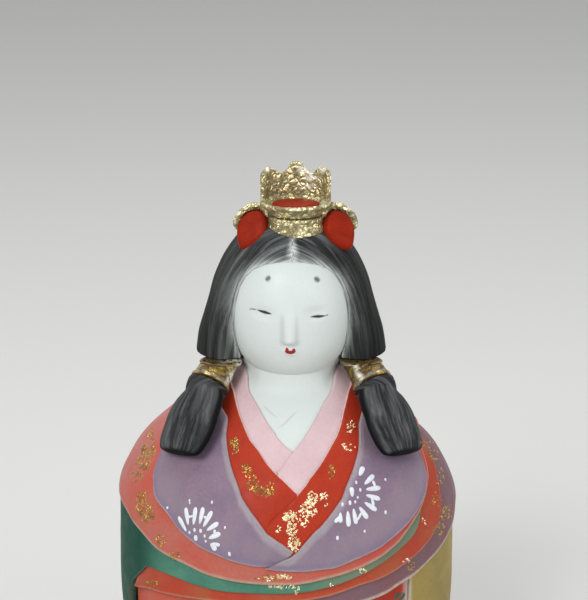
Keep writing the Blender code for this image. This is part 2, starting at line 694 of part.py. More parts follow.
# Rings of the hair from its foot to its top: height as a share of the hair's height, then
# half width, reach to the front and reach to the back as shares of the hair's own
HAIR_RING_SHARES = (
    (0.00, 1.000, 0.830, 1.000), (0.12, 0.975, 0.845, 1.000), (0.24, 0.925, 0.865, 1.000),
    (0.38, 0.865, 0.895, 0.985), (0.51, 0.815, 0.935, 0.960), (0.63, 0.745, 0.975, 0.915),
    (0.74, 0.655, 0.985, 0.830), (0.84, 0.545, 0.935, 0.700), (0.92, 0.415, 0.830, 0.520),
    (0.975, 0.250, 0.650, 0.270),
)


def hairRing(share, grow=0):
    """Half width, front and back of the hair at a share of its height."""
    tables = [tuple((ring[0], ring[k]) for ring in HAIR_RING_SHARES) for k in (1, 2, 3)]
    width, front, back = (smooth(share, table) for table in tables)
    return (HAIR_HALF_WIDTH * width + grow, HAIR_FRONT * front + grow, HAIR_BACK * back + grow)


def hairPoint(share, turn, grow=0):
    """A point of the hair's outer form, by share of its height and angle from the front."""
    width, front, back = hairRing(share, grow)
    side, ahead = math.sin(turn), math.cos(turn)
    power = 2 / HAIR_FULLNESS
    x = width * math.copysign(abs(side) ** power, side)
    reach = (front + back) / 2
    y = (back - front) / 2 - reach * math.copysign(abs(ahead) ** power, ahead)
    height = HAIR_FOOT + (HAIR_TOP - HAIR_FOOT) * share
    return Vector((x, y, height))


def hairForm(name, grow, collection, finish, foot=0):
    """The closed outer form of the hair, swollen by grow for a piece that rests on it."""
    columns = ROUND_SEGMENTS
    rings = [share for share, *_ in HAIR_RING_SHARES]

    def place(column, row):
        share = rings[row]
        point = hairPoint(share, 2 * math.pi * column / columns, grow)
        lift = grow * share
        if row == 0:
            lift -= foot
        point.z += lift
        return point

    bm = gridSheet(columns, len(rings) - 1, place)
    rim = [edge for edge in bm.edges if edge.is_boundary]
    top = [edge for edge in rim if edge.verts[0].co.z > (HAIR_TOP + HAIR_FOOT) / 2]
    low = [edge for edge in rim if edge not in top]
    peak = bmesh.ops.edgeloop_fill(bm, edges=top)["faces"]
    poked = bmesh.ops.poke(bm, faces=peak)
    for vert in poked["verts"]:
        vert.co.z = HAIR_TOP + grow
    bmesh.ops.edgeloop_fill(bm, edges=low)
    bmesh.ops.recalc_face_normals(bm, faces=bm.faces)
    return addObject(name, meshFrom(bm, name), finish, collection)


def outline(name, points, depth, finish=None, curved=True):
    """A flat outline in X and Z given thickness along Y, as a mesh."""
    curve = bpy.data.curves.new(name, "CURVE")
    curve.dimensions = "2D"
    curve.fill_mode = "BOTH"
    curve.extrude = depth / 2
    curve.resolution_u = 3
    spline = curve.splines.new("BEZIER" if curved else "POLY")
    if curved:
        spline.bezier_points.add(len(points) - 1)
        for node, (x, z) in zip(spline.bezier_points, points):
            node.co = (x, z, 0)
            node.handle_left_type = node.handle_right_type = "AUTO"
    else:
        spline.points.add(len(points) - 1)
        for node, (x, z) in zip(spline.points, points):
            node.co = (x, z, 0, 1)
    spline.use_cyclic_u = True
    return weldedMesh(curve, name, Matrix.Rotation(math.pi / 2, 4, "X"), finish)


def weldedMesh(curve, name, matrix, finish):
    """A curve made a closed mesh, its caps welded on."""
    holder = bpy.data.objects.new(name + "_curve", curve)
    parts.objects.link(holder)
    graph = bpy.context.evaluated_depsgraph_get()
    graph.update()
    mesh = bpy.data.meshes.new_from_object(holder.evaluated_get(graph))
    bpy.data.objects.remove(holder)
    bm = bmesh.new()
    bm.from_mesh(mesh)
    bmesh.ops.remove_doubles(bm, verts=bm.verts, dist=WELD)
    bmesh.ops.transform(bm, matrix=matrix, verts=bm.verts)
    bmesh.ops.recalc_face_normals(bm, faces=bm.faces)
    bpy.data.meshes.remove(mesh)
    return addObject(name, meshFrom(bm, name), finish, parts if finish else cutters)


# Hairline from the middle of the brow to the cheek: share of its half width, share of its height
HAIRLINE_SHARES = ((0.0, 1.0), (0.46, 0.965), (0.80, 0.83), (0.96, 0.60), (1.0, 0.38),
                   (0.965, 0.16), (0.90, 0.02))


def faceOpening():
    """The hairline from the front: a round brow, full cheeks, and straight sides below them."""
    tall = HAIRLINE_TOP - HAIR_FOOT
    side = [(HAIRLINE_HALF_WIDTH * x, HAIR_FOOT + tall * z) for x, z in HAIRLINE_SHARES]
    side.append((side[-1][0], HAIR_FOOT - CUT_OVERRUN))
    points = side + [(-x, z) for x, z in reversed(side[1:])]
    opening = outline("face_opening", points, 2 * HEAD_FRONT_DEPTH, curved=False)
    opening.location.y = HEAD_CENTRE.y - HEAD_FRONT_DEPTH
    return opening


def makeHair():
    hair = hairForm("hair_cap", 0, parts, "hair_grey")
    cut(hair, addObject("head_space", headMesh("head_space", CLEAR, 32, 20, False), None, cutters))
    cut(hair, faceOpening())
    weld(hair)
    makeTress()
    for side, tag in ((-1, "right"), (1, "left")):
        makeLock(side, tag)


# Way down the back hair to its half spread in degrees, and to how far it has come in from over
# the jacket to over the ochre robe
TRESS_SPREAD_SHARES = ((0, 64), (0.10, 50), (0.2, 40), (0.35, 32), (0.65, 25), (1, 21))
TRESS_INSET_SHARES = ((0, 0), (0.15, 0), (0.38, 1), (1, 1))
TRESS_ROW_SHARES = (0, 0.05, 0.10, 0.16, 0.24, 0.34, 0.50, 0.72, 1)


def makeTress():
    """The long back hair, spreading from the nape over the robe and narrowing to its end."""
    columns = 18
    high_reach = layerTop("jacket") + CLEAR + TRESS_THICKNESS
    low_reach = layerTop("ochre") + CLEAR + TRESS_THICKNESS
    start = FORM_HEIGHT * TRESS_START_SHARE

    def napePoint(column, depth):
        turn = 180 + TRESS_NAPE_ANGLE * (2 * column / columns - 1)
        point = hairPoint(0, math.radians(turn), -depth)
        point.z = HAIR_FOOT - CLEAR
        return point

    def backPoint(way, column, depth):
        turn = 180 + smooth(way, TRESS_SPREAD_SHARES) * (2 * column / columns - 1)
        reach = high_reach + (low_reach - high_reach) * smooth(way, TRESS_INSET_SHARES)
        return formPoint(turn, start + (TRESS_FOOT - start) * way, reach - depth)

    def ring(point):
        outer = [point(column, 0) for column in range(columns + 1)]
        return outer + [point(column, TRESS_THICKNESS) for column in range(columns, -1, -1)]

    rings = [ring(napePoint)]
    for way in TRESS_ROW_SHARES:
        rings.append(ring(lambda column, depth: backPoint(way, column, depth)))
    loft("back_tress", rings, "hair_grey")


def loft(name, sections, finish):
    """A closed solid through rings of equal counts, capped at both ends."""
    columns = len(sections[0])

    def place(column, row):
        return sections[row][column % columns]

    bm = gridSheet(columns, len(sections) - 1, place)
    bmesh.ops.holes_fill(bm, edges=bm.edges, sides=0)
    bmesh.ops.recalc_face_normals(bm, faces=bm.faces)
    return addObject(name, meshFrom(bm, name), finish, parts)


def ovalRing(centre, across, through, half_width, half_depth, count=16):
    return [centre + across * (half_width * math.cos(2 * math.pi * k / count))
            + through * (half_depth * math.sin(2 * math.pi * k / count)) for k in range(count)]


# Corner of the hair that a band hangs from, as shares of the hair's half width and front
BAND_CORNER_SHARES = (0.718, 0.470)
# Rings of a band from the hair down: way down the band, size
BAND_RING_SHARES = ((0, 1.0), (0.16, 1.0), (0.20, 0.93), (0.80, 0.90), (0.84, 0.97), (1, 0.96))
BAND_TURN_SHARE = 0.8       # way down a band at which it faces along the lock
# A lock's path over the shoulder: angle from the front, height share of the form, and how many of
# its own half thicknesses it lies off the jacket
LOCK_PATH_SHARES = ((50.4, 0.930, 1.6), (48.0, 0.908, 1.45), (46.2, 0.886, 1.3), (44.8, 0.862, 1.15),
                    (44.2, 0.848, 1.05))
# Width and thickness of a lock at the band, at one ring between, and at each point of the path
LOCK_SIZE_SHARES = ((0.78, 1.40), (0.90, 1.34), (1.04, 1.26), (1.11, 1.20), (1.12, 1.10),
                    (1.06, 0.98), (0.88, 0.68))
BAND_FORWARD_SHARE = 0.25   # how far a band's width turns forward
LOCK_LEAN_SHARE = 0.75      # how far a lock's broad side faces up


def bandRings(top, end, across, through):
    """Rings of a gold band, from level under the hair to square with the lock."""
    rings = []
    level = Vector((math.copysign(1, top.x), 0, 0))
    ahead = Vector((0, 1, 0))
    for share, swell in BAND_RING_SHARES:
        turn = min(share / BAND_TURN_SHARE, 1)
        wide = level.lerp(across, turn).normalized()
        deep = ahead.lerp(through * math.copysign(1, through.y), turn).normalized()
        rings.append(ovalRing(top.lerp(end, share), wide, deep,
                              BAND_HALF_WIDTH * swell, BAND_HALF_DEPTH * swell))
    return rings


def makeLock(side, tag):
    """A side lock: its gold band under the hair's front corner, and its end on the shoulder."""
    wide_share, front_share = BAND_CORNER_SHARES
    top = Vector((side * HAIR_HALF_WIDTH * wide_share, -HAIR_FRONT * front_share, HAIR_FOOT - CLEAR))
    over = [formPoint(side * angle, FORM_HEIGHT * share,
                      layerTop("jacket") + CLEAR + LOCK_HALF_THICKNESS * rise)
            for angle, share, rise in LOCK_PATH_SHARES]
    band_end = top.lerp(over[0], BAND_LENGTH / (over[0] - top).length)
    axis = (band_end - top).normalized()
    sideways = Vector((side, -BAND_FORWARD_SHARE, 0))
    across = (sideways - axis * sideways.dot(axis)).normalized()
    loft("hair_band_" + tag, bandRings(top, band_end, across, axis.cross(across).normalized()),
         "gold")

    start = band_end + axis * CLEAR
    path = [start, start.lerp(over[0], 0.5)] + over
    rings = []
    for index, (point, (wide, deep)) in enumerate(zip(path, LOCK_SIZE_SHARES)):
        along = (path[min(index + 1, len(path) - 1)] - path[max(index - 1, 0)]).normalized()
        turn = math.atan2(point.x, -point.y / FORM_DEPTH_SHARE)
        outward = Vector((math.sin(turn), -math.cos(turn), LOCK_LEAN_SHARE))
        wide_way = along.cross(outward).normalized()
        if wide_way.dot(across) < 0:
            wide_way.negate()
        if index == 0:
            along, wide_way = axis, across
        deep_way = along.cross(wide_way).normalized()
        rings.append(ovalRing(point, wide_way, deep_way, LOCK_HALF_WIDTH * wide,
                              LOCK_HALF_THICKNESS * deep))
    loft("hair_lock_" + tag, rings, "hair_grey")


def makeCrown():
    wide = CROWN_HALF_WIDTH
    edge = DISH_WALL / 2
    band = [(0, CROWN_BAND_TOP), (wide - 2 * edge, CROWN_BAND_TOP), (wide - edge, CROWN_BAND_TOP - edge),
            (wide - edge, (CROWN_BAND_TOP + CROWN_FOOT) / 2), (wide, CROWN_FOOT + 2 * edge),
            (wide, CROWN_FOOT), (0, CROWN_FOOT)]
    foot = turned("crown_base", band, CROWN_DEPTH_SHARE, "gold", CROWN_CENTRE)
    cut(foot, hairForm("hair_space", CLEAR, cutters, None, foot=CUT_OVERRUN))
    weld(foot)

    low = CROWN_BAND_TOP + CLEAR
    lip = DISH_RADIUS
    well = CROWN_FLOOR_HALF_WIDTH + CLEAR
    dish = [(0, DISH_FLOOR - CROWN_FLOOR_THICKNESS), (well, DISH_FLOOR - CROWN_FLOOR_THICKNESS),
            (lip - DISH_WALL - edge, DISH_LIP - edge), (lip - edge, DISH_LIP), (lip, DISH_LIP - edge),
            (lip - edge, DISH_LIP - 2 * edge), (wide - edge, low + edge), (wide - 2 * edge, low), (0, low)]
    turned("crown_dish", dish, CROWN_DEPTH_SHARE, "gold", CROWN_CENTRE)
    space = [(0, DISH_LIP + CLEAR), (lip, DISH_LIP + CLEAR), (lip + CLEAR, DISH_LIP),
             (lip + CLEAR, DISH_LIP - 2 * edge), (wide + CLEAR, low), (wide + CLEAR, CROWN_FOOT),
             (0, CROWN_FOOT)]
    turned("crown_space", space, CROWN_DEPTH_SHARE, None, CROWN_CENTRE)

    bottom = DISH_FLOOR - CROWN_FLOOR_THICKNESS + CLEAR
    top = bottom + CROWN_FLOOR_THICKNESS
    floor = [(0, top), (CROWN_FLOOR_HALF_WIDTH, top), (CROWN_FLOOR_HALF_WIDTH, bottom), (0, bottom)]
    turned("crown_floor", floor, CROWN_FLOOR_HALF_DEPTH / CROWN_FLOOR_HALF_WIDTH, "scarlet",
           CROWN_CENTRE)
    makeCrownWall()


# Top line of the crown's wall: place round the wall from end to end, height between notch and top
CROWN_WALL_SHARES = ((0.0, 0.30), (0.09, 0.52), (0.17, 0.72), (0.25, 0.40), (0.33, 0.03),
                     (0.41, 0.30), (0.46, 0.95), (0.51, 1.0), (0.56, 0.95), (0.61, 0.30),
                     (0.68, 0.03), (0.76, 0.45), (0.83, 0.76), (0.91, 0.60), (1.0, 0.30))


def makeCrownWall():
    """The upright back of the crown, a curved plate with a tall point and two lower ones."""
    rows = 2
    columns = 2 * (len(CROWN_WALL_SHARES) - 1)
    bottom = DISH_LIP + CLEAR
    wide = DISH_RADIUS - DISH_WALL / 2 + CROWN_WALL_THICKNESS / 2

    def place(column, row):
        way = column / columns
        turn = math.pi / 2 + CROWN_WALL_SWEEP * (0.5 - way)
        crest = CROWN_NOTCH + (CROWN_TOP - CROWN_NOTCH) * smooth(way, CROWN_WALL_SHARES)
        height = bottom + (crest - bottom) * row / rows
        return CROWN_CENTRE + Vector((wide * math.cos(turn),
                                      wide * CROWN_DEPTH_SHARE * math.sin(turn), height))

    bm = gridSheet(columns, rows, place)
    facing(bm, lambda point: Vector((point.x - CROWN_CENTRE.x, point.y - CROWN_CENTRE.y, 0)))
    wall = addObject("crown_wall", meshFrom(bm, "crown_wall"), "gold", parts)
    shell = wall.modifiers.new("thickness", "SOLIDIFY")
    shell.thickness = CROWN_WALL_THICKNESS
    shell.offset = -1


LOBE_OUTLINE_SHARES = ((-0.42, 0.30), (-0.10, 0.50), (0.32, 0.42), (0.50, 0.08), (0.46, -0.36),
                       (0.20, -0.50), (-0.20, -0.38), (-0.46, -0.05))


LOBE_RIM_SHARES = ((-0.42, 0.57), (-0.14, 0.68), (0.18, 0.66), (0.45, 0.48), (0.62, 0.20),
                   (0.66, -0.12))


def makeLobes():
    """Red ribbon loops on each side of the crown's foot, each with a gold upper edge."""
    for side, tag in ((-1, "right"), (1, "left")):
        points = [(side * x * LOBE_WIDTH, z * LOBE_HEIGHT) for x, z in LOBE_OUTLINE_SHARES]
        lobe = outline("ribbon_lobe_" + tag, points, LOBE_THICKNESS, "scarlet")
        centre = Vector((CROWN_CENTRE.x + side * LOBE_SPREAD, -LOBE_FORWARD, HAIR_TOP - LOBE_DROP))
        placed = (Matrix.Translation(centre) @ Matrix.Rotation(side * LOBE_SPLAY, 4, "Z")
                  @ Matrix.Rotation(-LOBE_LEAN, 4, "X"))
        bevel = lobe.modifiers.new("round", "BEVEL")
        bevel.width = LOBE_BEVEL
        bevel.segments = 1
        bevel.limit_method = "ANGLE"
        rim = makeRim(side, tag)
        for piece in (lobe, rim):
            piece.matrix_basis = placed
            cut(piece, bpy.data.objects["hair_space"])
            cut(piece, bpy.data.objects["crown_space"])
            weld(piece)


def makeRim(side, tag):
    """The gold edge that runs round the top and outer side of a lobe."""
    path = [Vector((side * x * LOBE_WIDTH, 0, z * LOBE_HEIGHT)) for x, z in LOBE_RIM_SHARES]
    forward = Vector((0, 1, 0))
    rings = []
    for index, point in enumerate(path):
        along = path[min(index + 1, len(path) - 1)] - path[max(index - 1, 0)]
        across = forward.cross(along).normalized()
        rings.append(ovalRing(point, across, forward, RIM_RADIUS, RIM_HALF_DEPTH, 8))
    return loft("ribbon_rim_" + tag, rings, "gold")


for old in list(bpy.data.objects):
    bpy.data.objects.remove(old, do_unlink=True)
parts = bpy.data.collections.new("hina_doll")
cutters = bpy.data.collections.new("cutters")
bpy.context.scene.collection.children.link(parts)
bpy.context.scene.collection.children.link(cutters)
doll = bpy.data.objects.new("doll_origin", None)
doll.location = FORM_PLACE
parts.objects.link(doll)

makeCore()
makeBase()
makeRobes()
makeCollars()
makeChest()
makeHead()
makeHair()
makeCrown()
makeLobes()
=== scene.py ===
# Looks of a small painted clay court lady: robes, hair, crown, face and the paint on them
import math
import random

import bmesh
import bpy
from mathutils import Matrix, Vector, noise
from mathutils.bvhtree import BVHTree


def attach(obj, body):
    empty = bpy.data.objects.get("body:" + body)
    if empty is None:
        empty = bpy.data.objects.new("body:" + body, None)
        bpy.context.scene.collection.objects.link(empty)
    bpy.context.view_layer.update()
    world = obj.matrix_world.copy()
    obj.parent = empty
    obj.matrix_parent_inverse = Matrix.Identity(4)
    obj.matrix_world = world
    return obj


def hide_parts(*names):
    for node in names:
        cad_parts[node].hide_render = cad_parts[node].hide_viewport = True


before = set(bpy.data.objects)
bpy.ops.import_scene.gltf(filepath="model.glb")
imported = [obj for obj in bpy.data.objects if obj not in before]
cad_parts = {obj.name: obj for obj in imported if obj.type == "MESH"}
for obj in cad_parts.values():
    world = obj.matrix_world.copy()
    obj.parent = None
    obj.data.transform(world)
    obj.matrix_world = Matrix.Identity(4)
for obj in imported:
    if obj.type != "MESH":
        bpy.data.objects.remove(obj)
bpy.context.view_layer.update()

mm = 0.001

# The clay form that everything lies on, as in the construction model
form = {
    "height": 86.5 * mm, "radius": 36.6 * mm, "depthShare": 0.90,
    "place": Vector((1.0, 0.2, 0)) * mm,
    "line": ((0.0, 0.9016), (0.4624, 1.0), (0.6936, 0.9945), (0.7977, 0.9071), (0.9075, 0.6421),
             (1.0, 0.3443), (1.06, 0.215), (1.12, 0.150)),
    "skin": 2.4 * mm, "step": 0.8 * mm, "sheet": 0.5 * mm, "clear": 0.3 * mm,
    "tuck": 4.0 * mm, "collarTuck": 1.6 * mm, "chestTuck": 2.4 * mm, "footClear": 0.6 * mm,
}
layers = {"skirt": 1, "ochre": 2, "mauve": 3, "red": 4, "green": 5, "salmon": 6, "jacket": 7,
          "chest": 4, "pinkCollar": 5, "redCollar": 6}

# Hems: angle from the front in degrees, height as a share of the form's height
hems = {
    "jacket": ((-180, 0.931), (-130, 0.929), (-100, 0.922), (-80, 0.905), (-68, 0.875),
               (-60, 0.836), (-55, 0.789), (-51, 0.758), (-43, 0.735), (-36, 0.711), (-27, 0.689),
               (-17, 0.666), (-9, 0.655), (0, 0.646), (11, 0.650), (20, 0.671), (28, 0.693),
               (38, 0.718), (43, 0.734), (50, 0.763), (54, 0.793), (58, 0.830), (66, 0.875),
               (80, 0.908), (100, 0.922), (130, 0.929)),
    "salmon": ((-180, 0.902), (-150, 0.884), (-125, 0.827), (-105, 0.769), (-90, 0.732),
               (-78, 0.712), (-67, 0.702), (-56, 0.677), (-47, 0.648), (-36, 0.632), (-24, 0.611),
               (-12, 0.605), (0, 0.606), (12, 0.622), (20, 0.637), (29, 0.662), (36, 0.694),
               (42, 0.718), (47, 0.738), (53, 0.770), (60, 0.815), (70, 0.872), (90, 0.905),
               (120, 0.912), (150, 0.906)),
    "green": ((-180, 0.873), (-160, 0.850), (-135, 0.790), (-115, 0.728), (-100, 0.650),
              (-88, 0.543), (-80, 0.420), (-76, 0.360), (-73, 0.385), (-69, 0.475), (-58, 0.558),
              (-55, 0.578), (-45, 0.582), (-32, 0.574), (-24, 0.570), (-12, 0.574), (0, 0.578),
              (12, 0.592), (22, 0.615), (31, 0.644), (40, 0.682), (45, 0.706), (50, 0.752),
              (57, 0.810), (64, 0.855), (75, 0.890), (95, 0.902), (125, 0.894), (150, 0.882)),
    "red": ((-180, 0.838), (-160, 0.825), (-132, 0.800), (-110, 0.730), (-68, 0.483), (-56, 0.506),
            (-45, 0.517), (-33, 0.528), (-15, 0.540), (0, 0.549), (12, 0.562), (23, 0.584),
            (30, 0.592), (43, 0.625), (53, 0.661), (60, 0.709), (66, 0.775), (72, 0.830),
            (85, 0.862), (110, 0.860), (145, 0.846)),
    "mauve": ((-180, 0.803), (-160, 0.795), (-138, 0.800), (-120, 0.745), (-100, 0.660),
              (-88, 0.560), (-76, 0.372), (-70, 0.440), (-64, 0.490), (-45, 0.520), (-20, 0.535),
              (-14, 0.525), (-8, 0.496), (0, 0.504), (12, 0.515), (33, 0.539), (38, 0.553),
              (46, 0.569), (54, 0.591), (62, 0.609), (70, 0.631), (76, 0.646), (85, 0.691),
              (100, 0.734), (125, 0.775), (150, 0.798)),
    "coral": ((-74, 0.350), (-60, 0.385), (-40, 0.410), (-10, 0.430), (8, 0.436)),
}
# Neck openings, from the middle of the front round to the middle of the back
necks = {
    "jacket": ((0, 0.693), (10, 0.745), (20, 0.816), (29, 0.879), (38, 0.934), (60, 0.958),
               (100, 0.966), (180, 0.966)),
    "redCollar": ((0, 0.802), (10, 0.851), (22, 0.912), (32, 0.945), (42, 0.972), (54, 0.998),
                  (70, 1.016), (100, 1.022), (180, 1.016)),
    "pinkCollar": ((0, 0.882), (9, 0.924), (22, 0.970), (32, 0.996), (42, 1.020), (54, 1.055),
                   (68, 1.078), (100, 1.084), (180, 1.078)),
    "chest": ((0, 1.000), (32, 1.000), (50, 1.035), (70, 1.068), (100, 1.074), (180, 1.068)),
}
# How much a neck edge strays from the even line above, from side to side
strays = {
    "jacket": ((-34, 0), (-25, 0.001), (-18, 0.006), (-12, 0.003), (-6, 0), (18, 0), (25, -0.008),
               (32, -0.014), (36, -0.013), (45, -0.006), (60, 0)),
    "redCollar": ((-26, 0), (-20, 0.001), (-13, 0.008), (-9, 0.008), (-5, 0.010), (0, 0),
                  (8, -0.005),
                  (22, -0.006), (34, 0)),
    "pinkCollar": ((-60, 0), (-40, -0.006), (-15, -0.004), (-7, 0), (60, 0)),
}
# Crossing corners at the front: upper, lower, seams to the side, tucks down
crossings = {
    "pinkCollar": {
        "under": (((-2.0, 0.887), (-5.8, 0.857), -2.6, 1.3),
                  ((-7.5, 0.9155), (-10.5, 0.848), 0, 1)),
        "over": (((4.5, 0.904), (8.5, 0.838), 0, 1), ((-0.4, 0.8785), (1.0, 0.803), 0, 1),
                 ((-5.5, 0.842), (-2.4, 0.803), 0, 1)),
    },
    "redCollar": {
        "under": (((0.2, 0.804), (-6.4, 0.762), -2.6, 1.3), ((-5.7, 0.8396), (-9.5, 0.742), 0, 1)),
        "over": (((5.5, 0.8215), (6.5, 0.724), 0, 1), ((0.4, 0.7975), (0.0, 0.688), 0, 1),
                 ((-6.4, 0.752), (-10.2, 0.727), 0, 1)),
    },
    "jacket": {
        "under": (((-2.4, 0.699), (-7.1, 0.657), -2.6, 0), ((-7.5, 0.729), (-12.0, 0.660), 0, 0),
                  ((-11.2, 0.756), (-15.4, 0.664), 0, 0)),
        "over": (((7.5, 0.733), (11.0, 0.652), 0, 0), ((2.5, 0.7035), (4.0, 0.647), 0, 0),
                 ((-0.4, 0.6885), (-1.5, 0.648), 0, 0), ((-2.6, 0.680), (-8.0, 0.655), 0, 0)),
    },
}


# Form and layers

def smooth(x, table):
    count = len(table)
    for index in range(count - 1):
        if x <= table[index + 1][0] or index == count - 2:
            break
    chords = {}
    for i in (index - 1, index, index + 1):
        if 0 <= i < count - 1:
            chords[i] = (table[i + 1][1] - table[i][1]) / (table[i + 1][0] - table[i][0])

    def slope(i):
        if i == 0 or i == count - 1:
            return chords[index]
        before, after = chords[i - 1], chords[i]
        return 0.0 if before * after <= 0 else 2 * before * after / (before + after)

    run = table[index + 1][0] - table[index][0]
    t = (x - table[index][0]) / run
    start, end = table[index][1], table[index + 1][1]
    return ((2 * t**3 - 3 * t**2 + 1) * start + (t**3 - 2 * t**2 + t) * run * slope(index)
            + (3 * t**2 - 2 * t**3) * end + (t**3 - t**2) * run * slope(index + 1))


def formRadius(height):
    return form["radius"] * smooth(height / form["height"], form["line"])


def formFrame(angle, height):
    # place on the form's line and the way out from it
    probe = form["height"] / 400
    low = max(height - probe, 0)
    slope = (formRadius(height + probe) - formRadius(low)) / (height + probe - low)
    if height < probe:
        slope = 0
    length = math.hypot(1, slope)
    turn = math.radians(angle)
    radius = formRadius(height)
    deep = form["depthShare"]
    place = Vector((radius * math.sin(turn), -deep * radius * math.cos(turn), height))
    out = Vector((math.sin(turn) / length, -deep * math.cos(turn) / length, -slope / length))
    return place + form["place"], out


def formPoint(angle, height, outset):
    place, out = formFrame(angle, height)
    return place + out * outset


def layerTop(layer):
    return form["skin"] + layers[layer] * form["step"]


def wrap(angle):
    return (angle + 180) % 360 - 180


def clamp(x):
    return min(max(x, 0), 1)


def eased(x):
    t = clamp(x)
    return t * t * (3 - 2 * t)


def hem(name):
    table = hems[name]
    if table[0][0] == -180:
        table = table + tuple((angle + 360, share) for angle, share in table)
    return lambda angle: form["height"] * smooth(angle, table)


jacketHem, salmonHem, greenHem, redHem, mauveHem, coralHem = (
    hem(name) for name in ("jacket", "salmon", "green", "red", "mauve", "coral"))


def neckEdge(name, tuck=0.0):
    def height(angle):
        turn = wrap(angle)
        share = smooth(abs(turn), necks[name])
        stray = strays.get(name)
        if stray and stray[0][0] < turn < stray[-1][0]:
            share += smooth(turn, stray)
        return form["height"] * share - tuck
    return height


coveredBy = (("salmon", jacketHem), ("green", salmonHem), ("red", greenHem), ("mauve", redHem),
             ("ochre", mauveHem))


def shelf(layer, angle):
    angle = wrap(angle)
    height = neckEdge("jacket", form["collarTuck"])(angle) - form["clear"]
    for name, covering in coveredBy:
        height = min(covering(angle) + form["tuck"], height - form["step"])
        if name == layer:
            break
    return height


# Node groups and materials

def nodeGroup(name, inputs, outputs):
    # a socket's kind follows its first value; an output called Colour is a colour
    group = bpy.data.node_groups.new(name, "ShaderNodeTree")
    for label, value in inputs.items():
        kind = {1: "Float", 3: "Vector", 4: "Color"}[len(value) if isinstance(value, tuple) else 1]
        socket = group.interface.new_socket(name=label, in_out="INPUT",
                                            socket_type="NodeSocket" + kind)
        socket.default_value = value
    for label in outputs:
        kind = "NodeSocketColor" if label == "Colour" else "NodeSocketFloat"
        group.interface.new_socket(name=label, in_out="OUTPUT", socket_type=kind)
    given = group.nodes.new("NodeGroupInput").outputs
    return group, given, group.nodes.new("NodeGroupOutput")


def mathNode(tree, operation, *values, clamped=False, kind="ShaderNodeMath"):
    node = tree.nodes.new(kind)
    node.operation = operation
    if clamped:
        node.use_clamp = True
    for socket, value in zip(node.inputs, values):
        plug(tree, value, socket)
    return node.outputs[0]


def times(tree, one, two, clamped=False):
    return mathNode(tree, "MULTIPLY", one, two, clamped=clamped)


def plug(tree, value, socket):
    if hasattr(value, "is_output"):
        tree.links.new(value, socket)
    else:
        socket.default_value = value


def put(tree, node, values):
    for label, value in values.items():
        plug(tree, value, node.inputs[label])
    return node


def noiseNode(tree, vector, scale, detail=3.0, rough=0.6, distortion=0.0):
    node = put(tree, tree.nodes.new("ShaderNodeTexNoise"), {
        "Vector": vector, "Scale": scale, "Detail": detail, "Roughness": rough,
        "Distortion": distortion})
    return node.outputs["Fac"]


def rangeNode(tree, value, low, high, outLow=0.0, outHigh=1.0, kind="SMOOTHSTEP"):
    node = tree.nodes.new("ShaderNodeMapRange")
    node.interpolation_type = kind
    for socket, item in zip(node.inputs, (value, low, high, outLow, outHigh)):
        plug(tree, item, socket)
    return node.outputs[0]


def mixNode(tree, factor, one, two, blend="MIX"):
    node = tree.nodes.new("ShaderNodeMix")
    node.data_type = "RGBA"
    node.blend_type = blend
    plug(tree, factor, node.inputs["Factor"])
    for value, socket in zip((one, two), [s for s in node.inputs if s.type == "RGBA"]):
        plug(tree, value, socket)
    return [s for s in node.outputs if s.type == "RGBA"][0]


def objectPlace(tree):
    return tree.nodes.new("ShaderNodeTexCoord").outputs["Object"]


def marked(tree, name, output="Fac"):
    # a mark that the mesh carries
    node = tree.nodes.new("ShaderNodeAttribute")
    node.attribute_name = name
    return node.outputs[output]


def makePaintGroup():
    # hand-laid clay paint: slow patches, fine brush grain and small dark specks
    tree, given, out = nodeGroup("clayPaint", {
        "Colour": (0.5, 0.5, 0.5, 1), "Second": (0.4, 0.4, 0.4, 1), "Patch Size": 90.0,
        "Patches": 0.6, "Specks": 0.25, "Grain": 1.0}, ("Colour", "Height", "Rough"))
    place = objectPlace(tree)
    patches = noiseNode(tree, place, given["Patch Size"], 4.0, distortion=0.4)
    patches = times(tree, rangeNode(tree, patches, 0.36, 0.66), given["Patches"])
    colour = mixNode(tree, patches, given["Colour"], given["Second"])
    grain = noiseNode(tree, place, 1500.0, 4.0, 0.65)
    tint = rangeNode(tree, grain, 0.3, 0.7, -0.09, 0.08, "LINEAR")
    tint = mathNode(tree, "ADD", times(tree, tint, given["Grain"]), 1.0)
    shaded = put(tree, tree.nodes.new("ShaderNodeHueSaturation"), {"Color": colour, "Value": tint})
    shaded = shaded.outputs["Color"]
    specks = rangeNode(tree, noiseNode(tree, place, 2600.0, 2.0, 0.5), 0.70, 0.78)
    dark = mixNode(tree, 1.0, shaded, (0.35, 0.30, 0.28, 1), "MULTIPLY")
    broad = noiseNode(tree, place, 420.0, 2.0, 0.5)
    put(tree, out, {
        "Colour": mixNode(tree, times(tree, specks, given["Specks"]), shaded, dark),
        "Height": mathNode(tree, "MULTIPLY_ADD", grain, 0.6, broad),
        "Rough": rangeNode(tree, noiseNode(tree, place, 260.0), 0.3, 0.7, -0.07, 0.09)})
    return tree


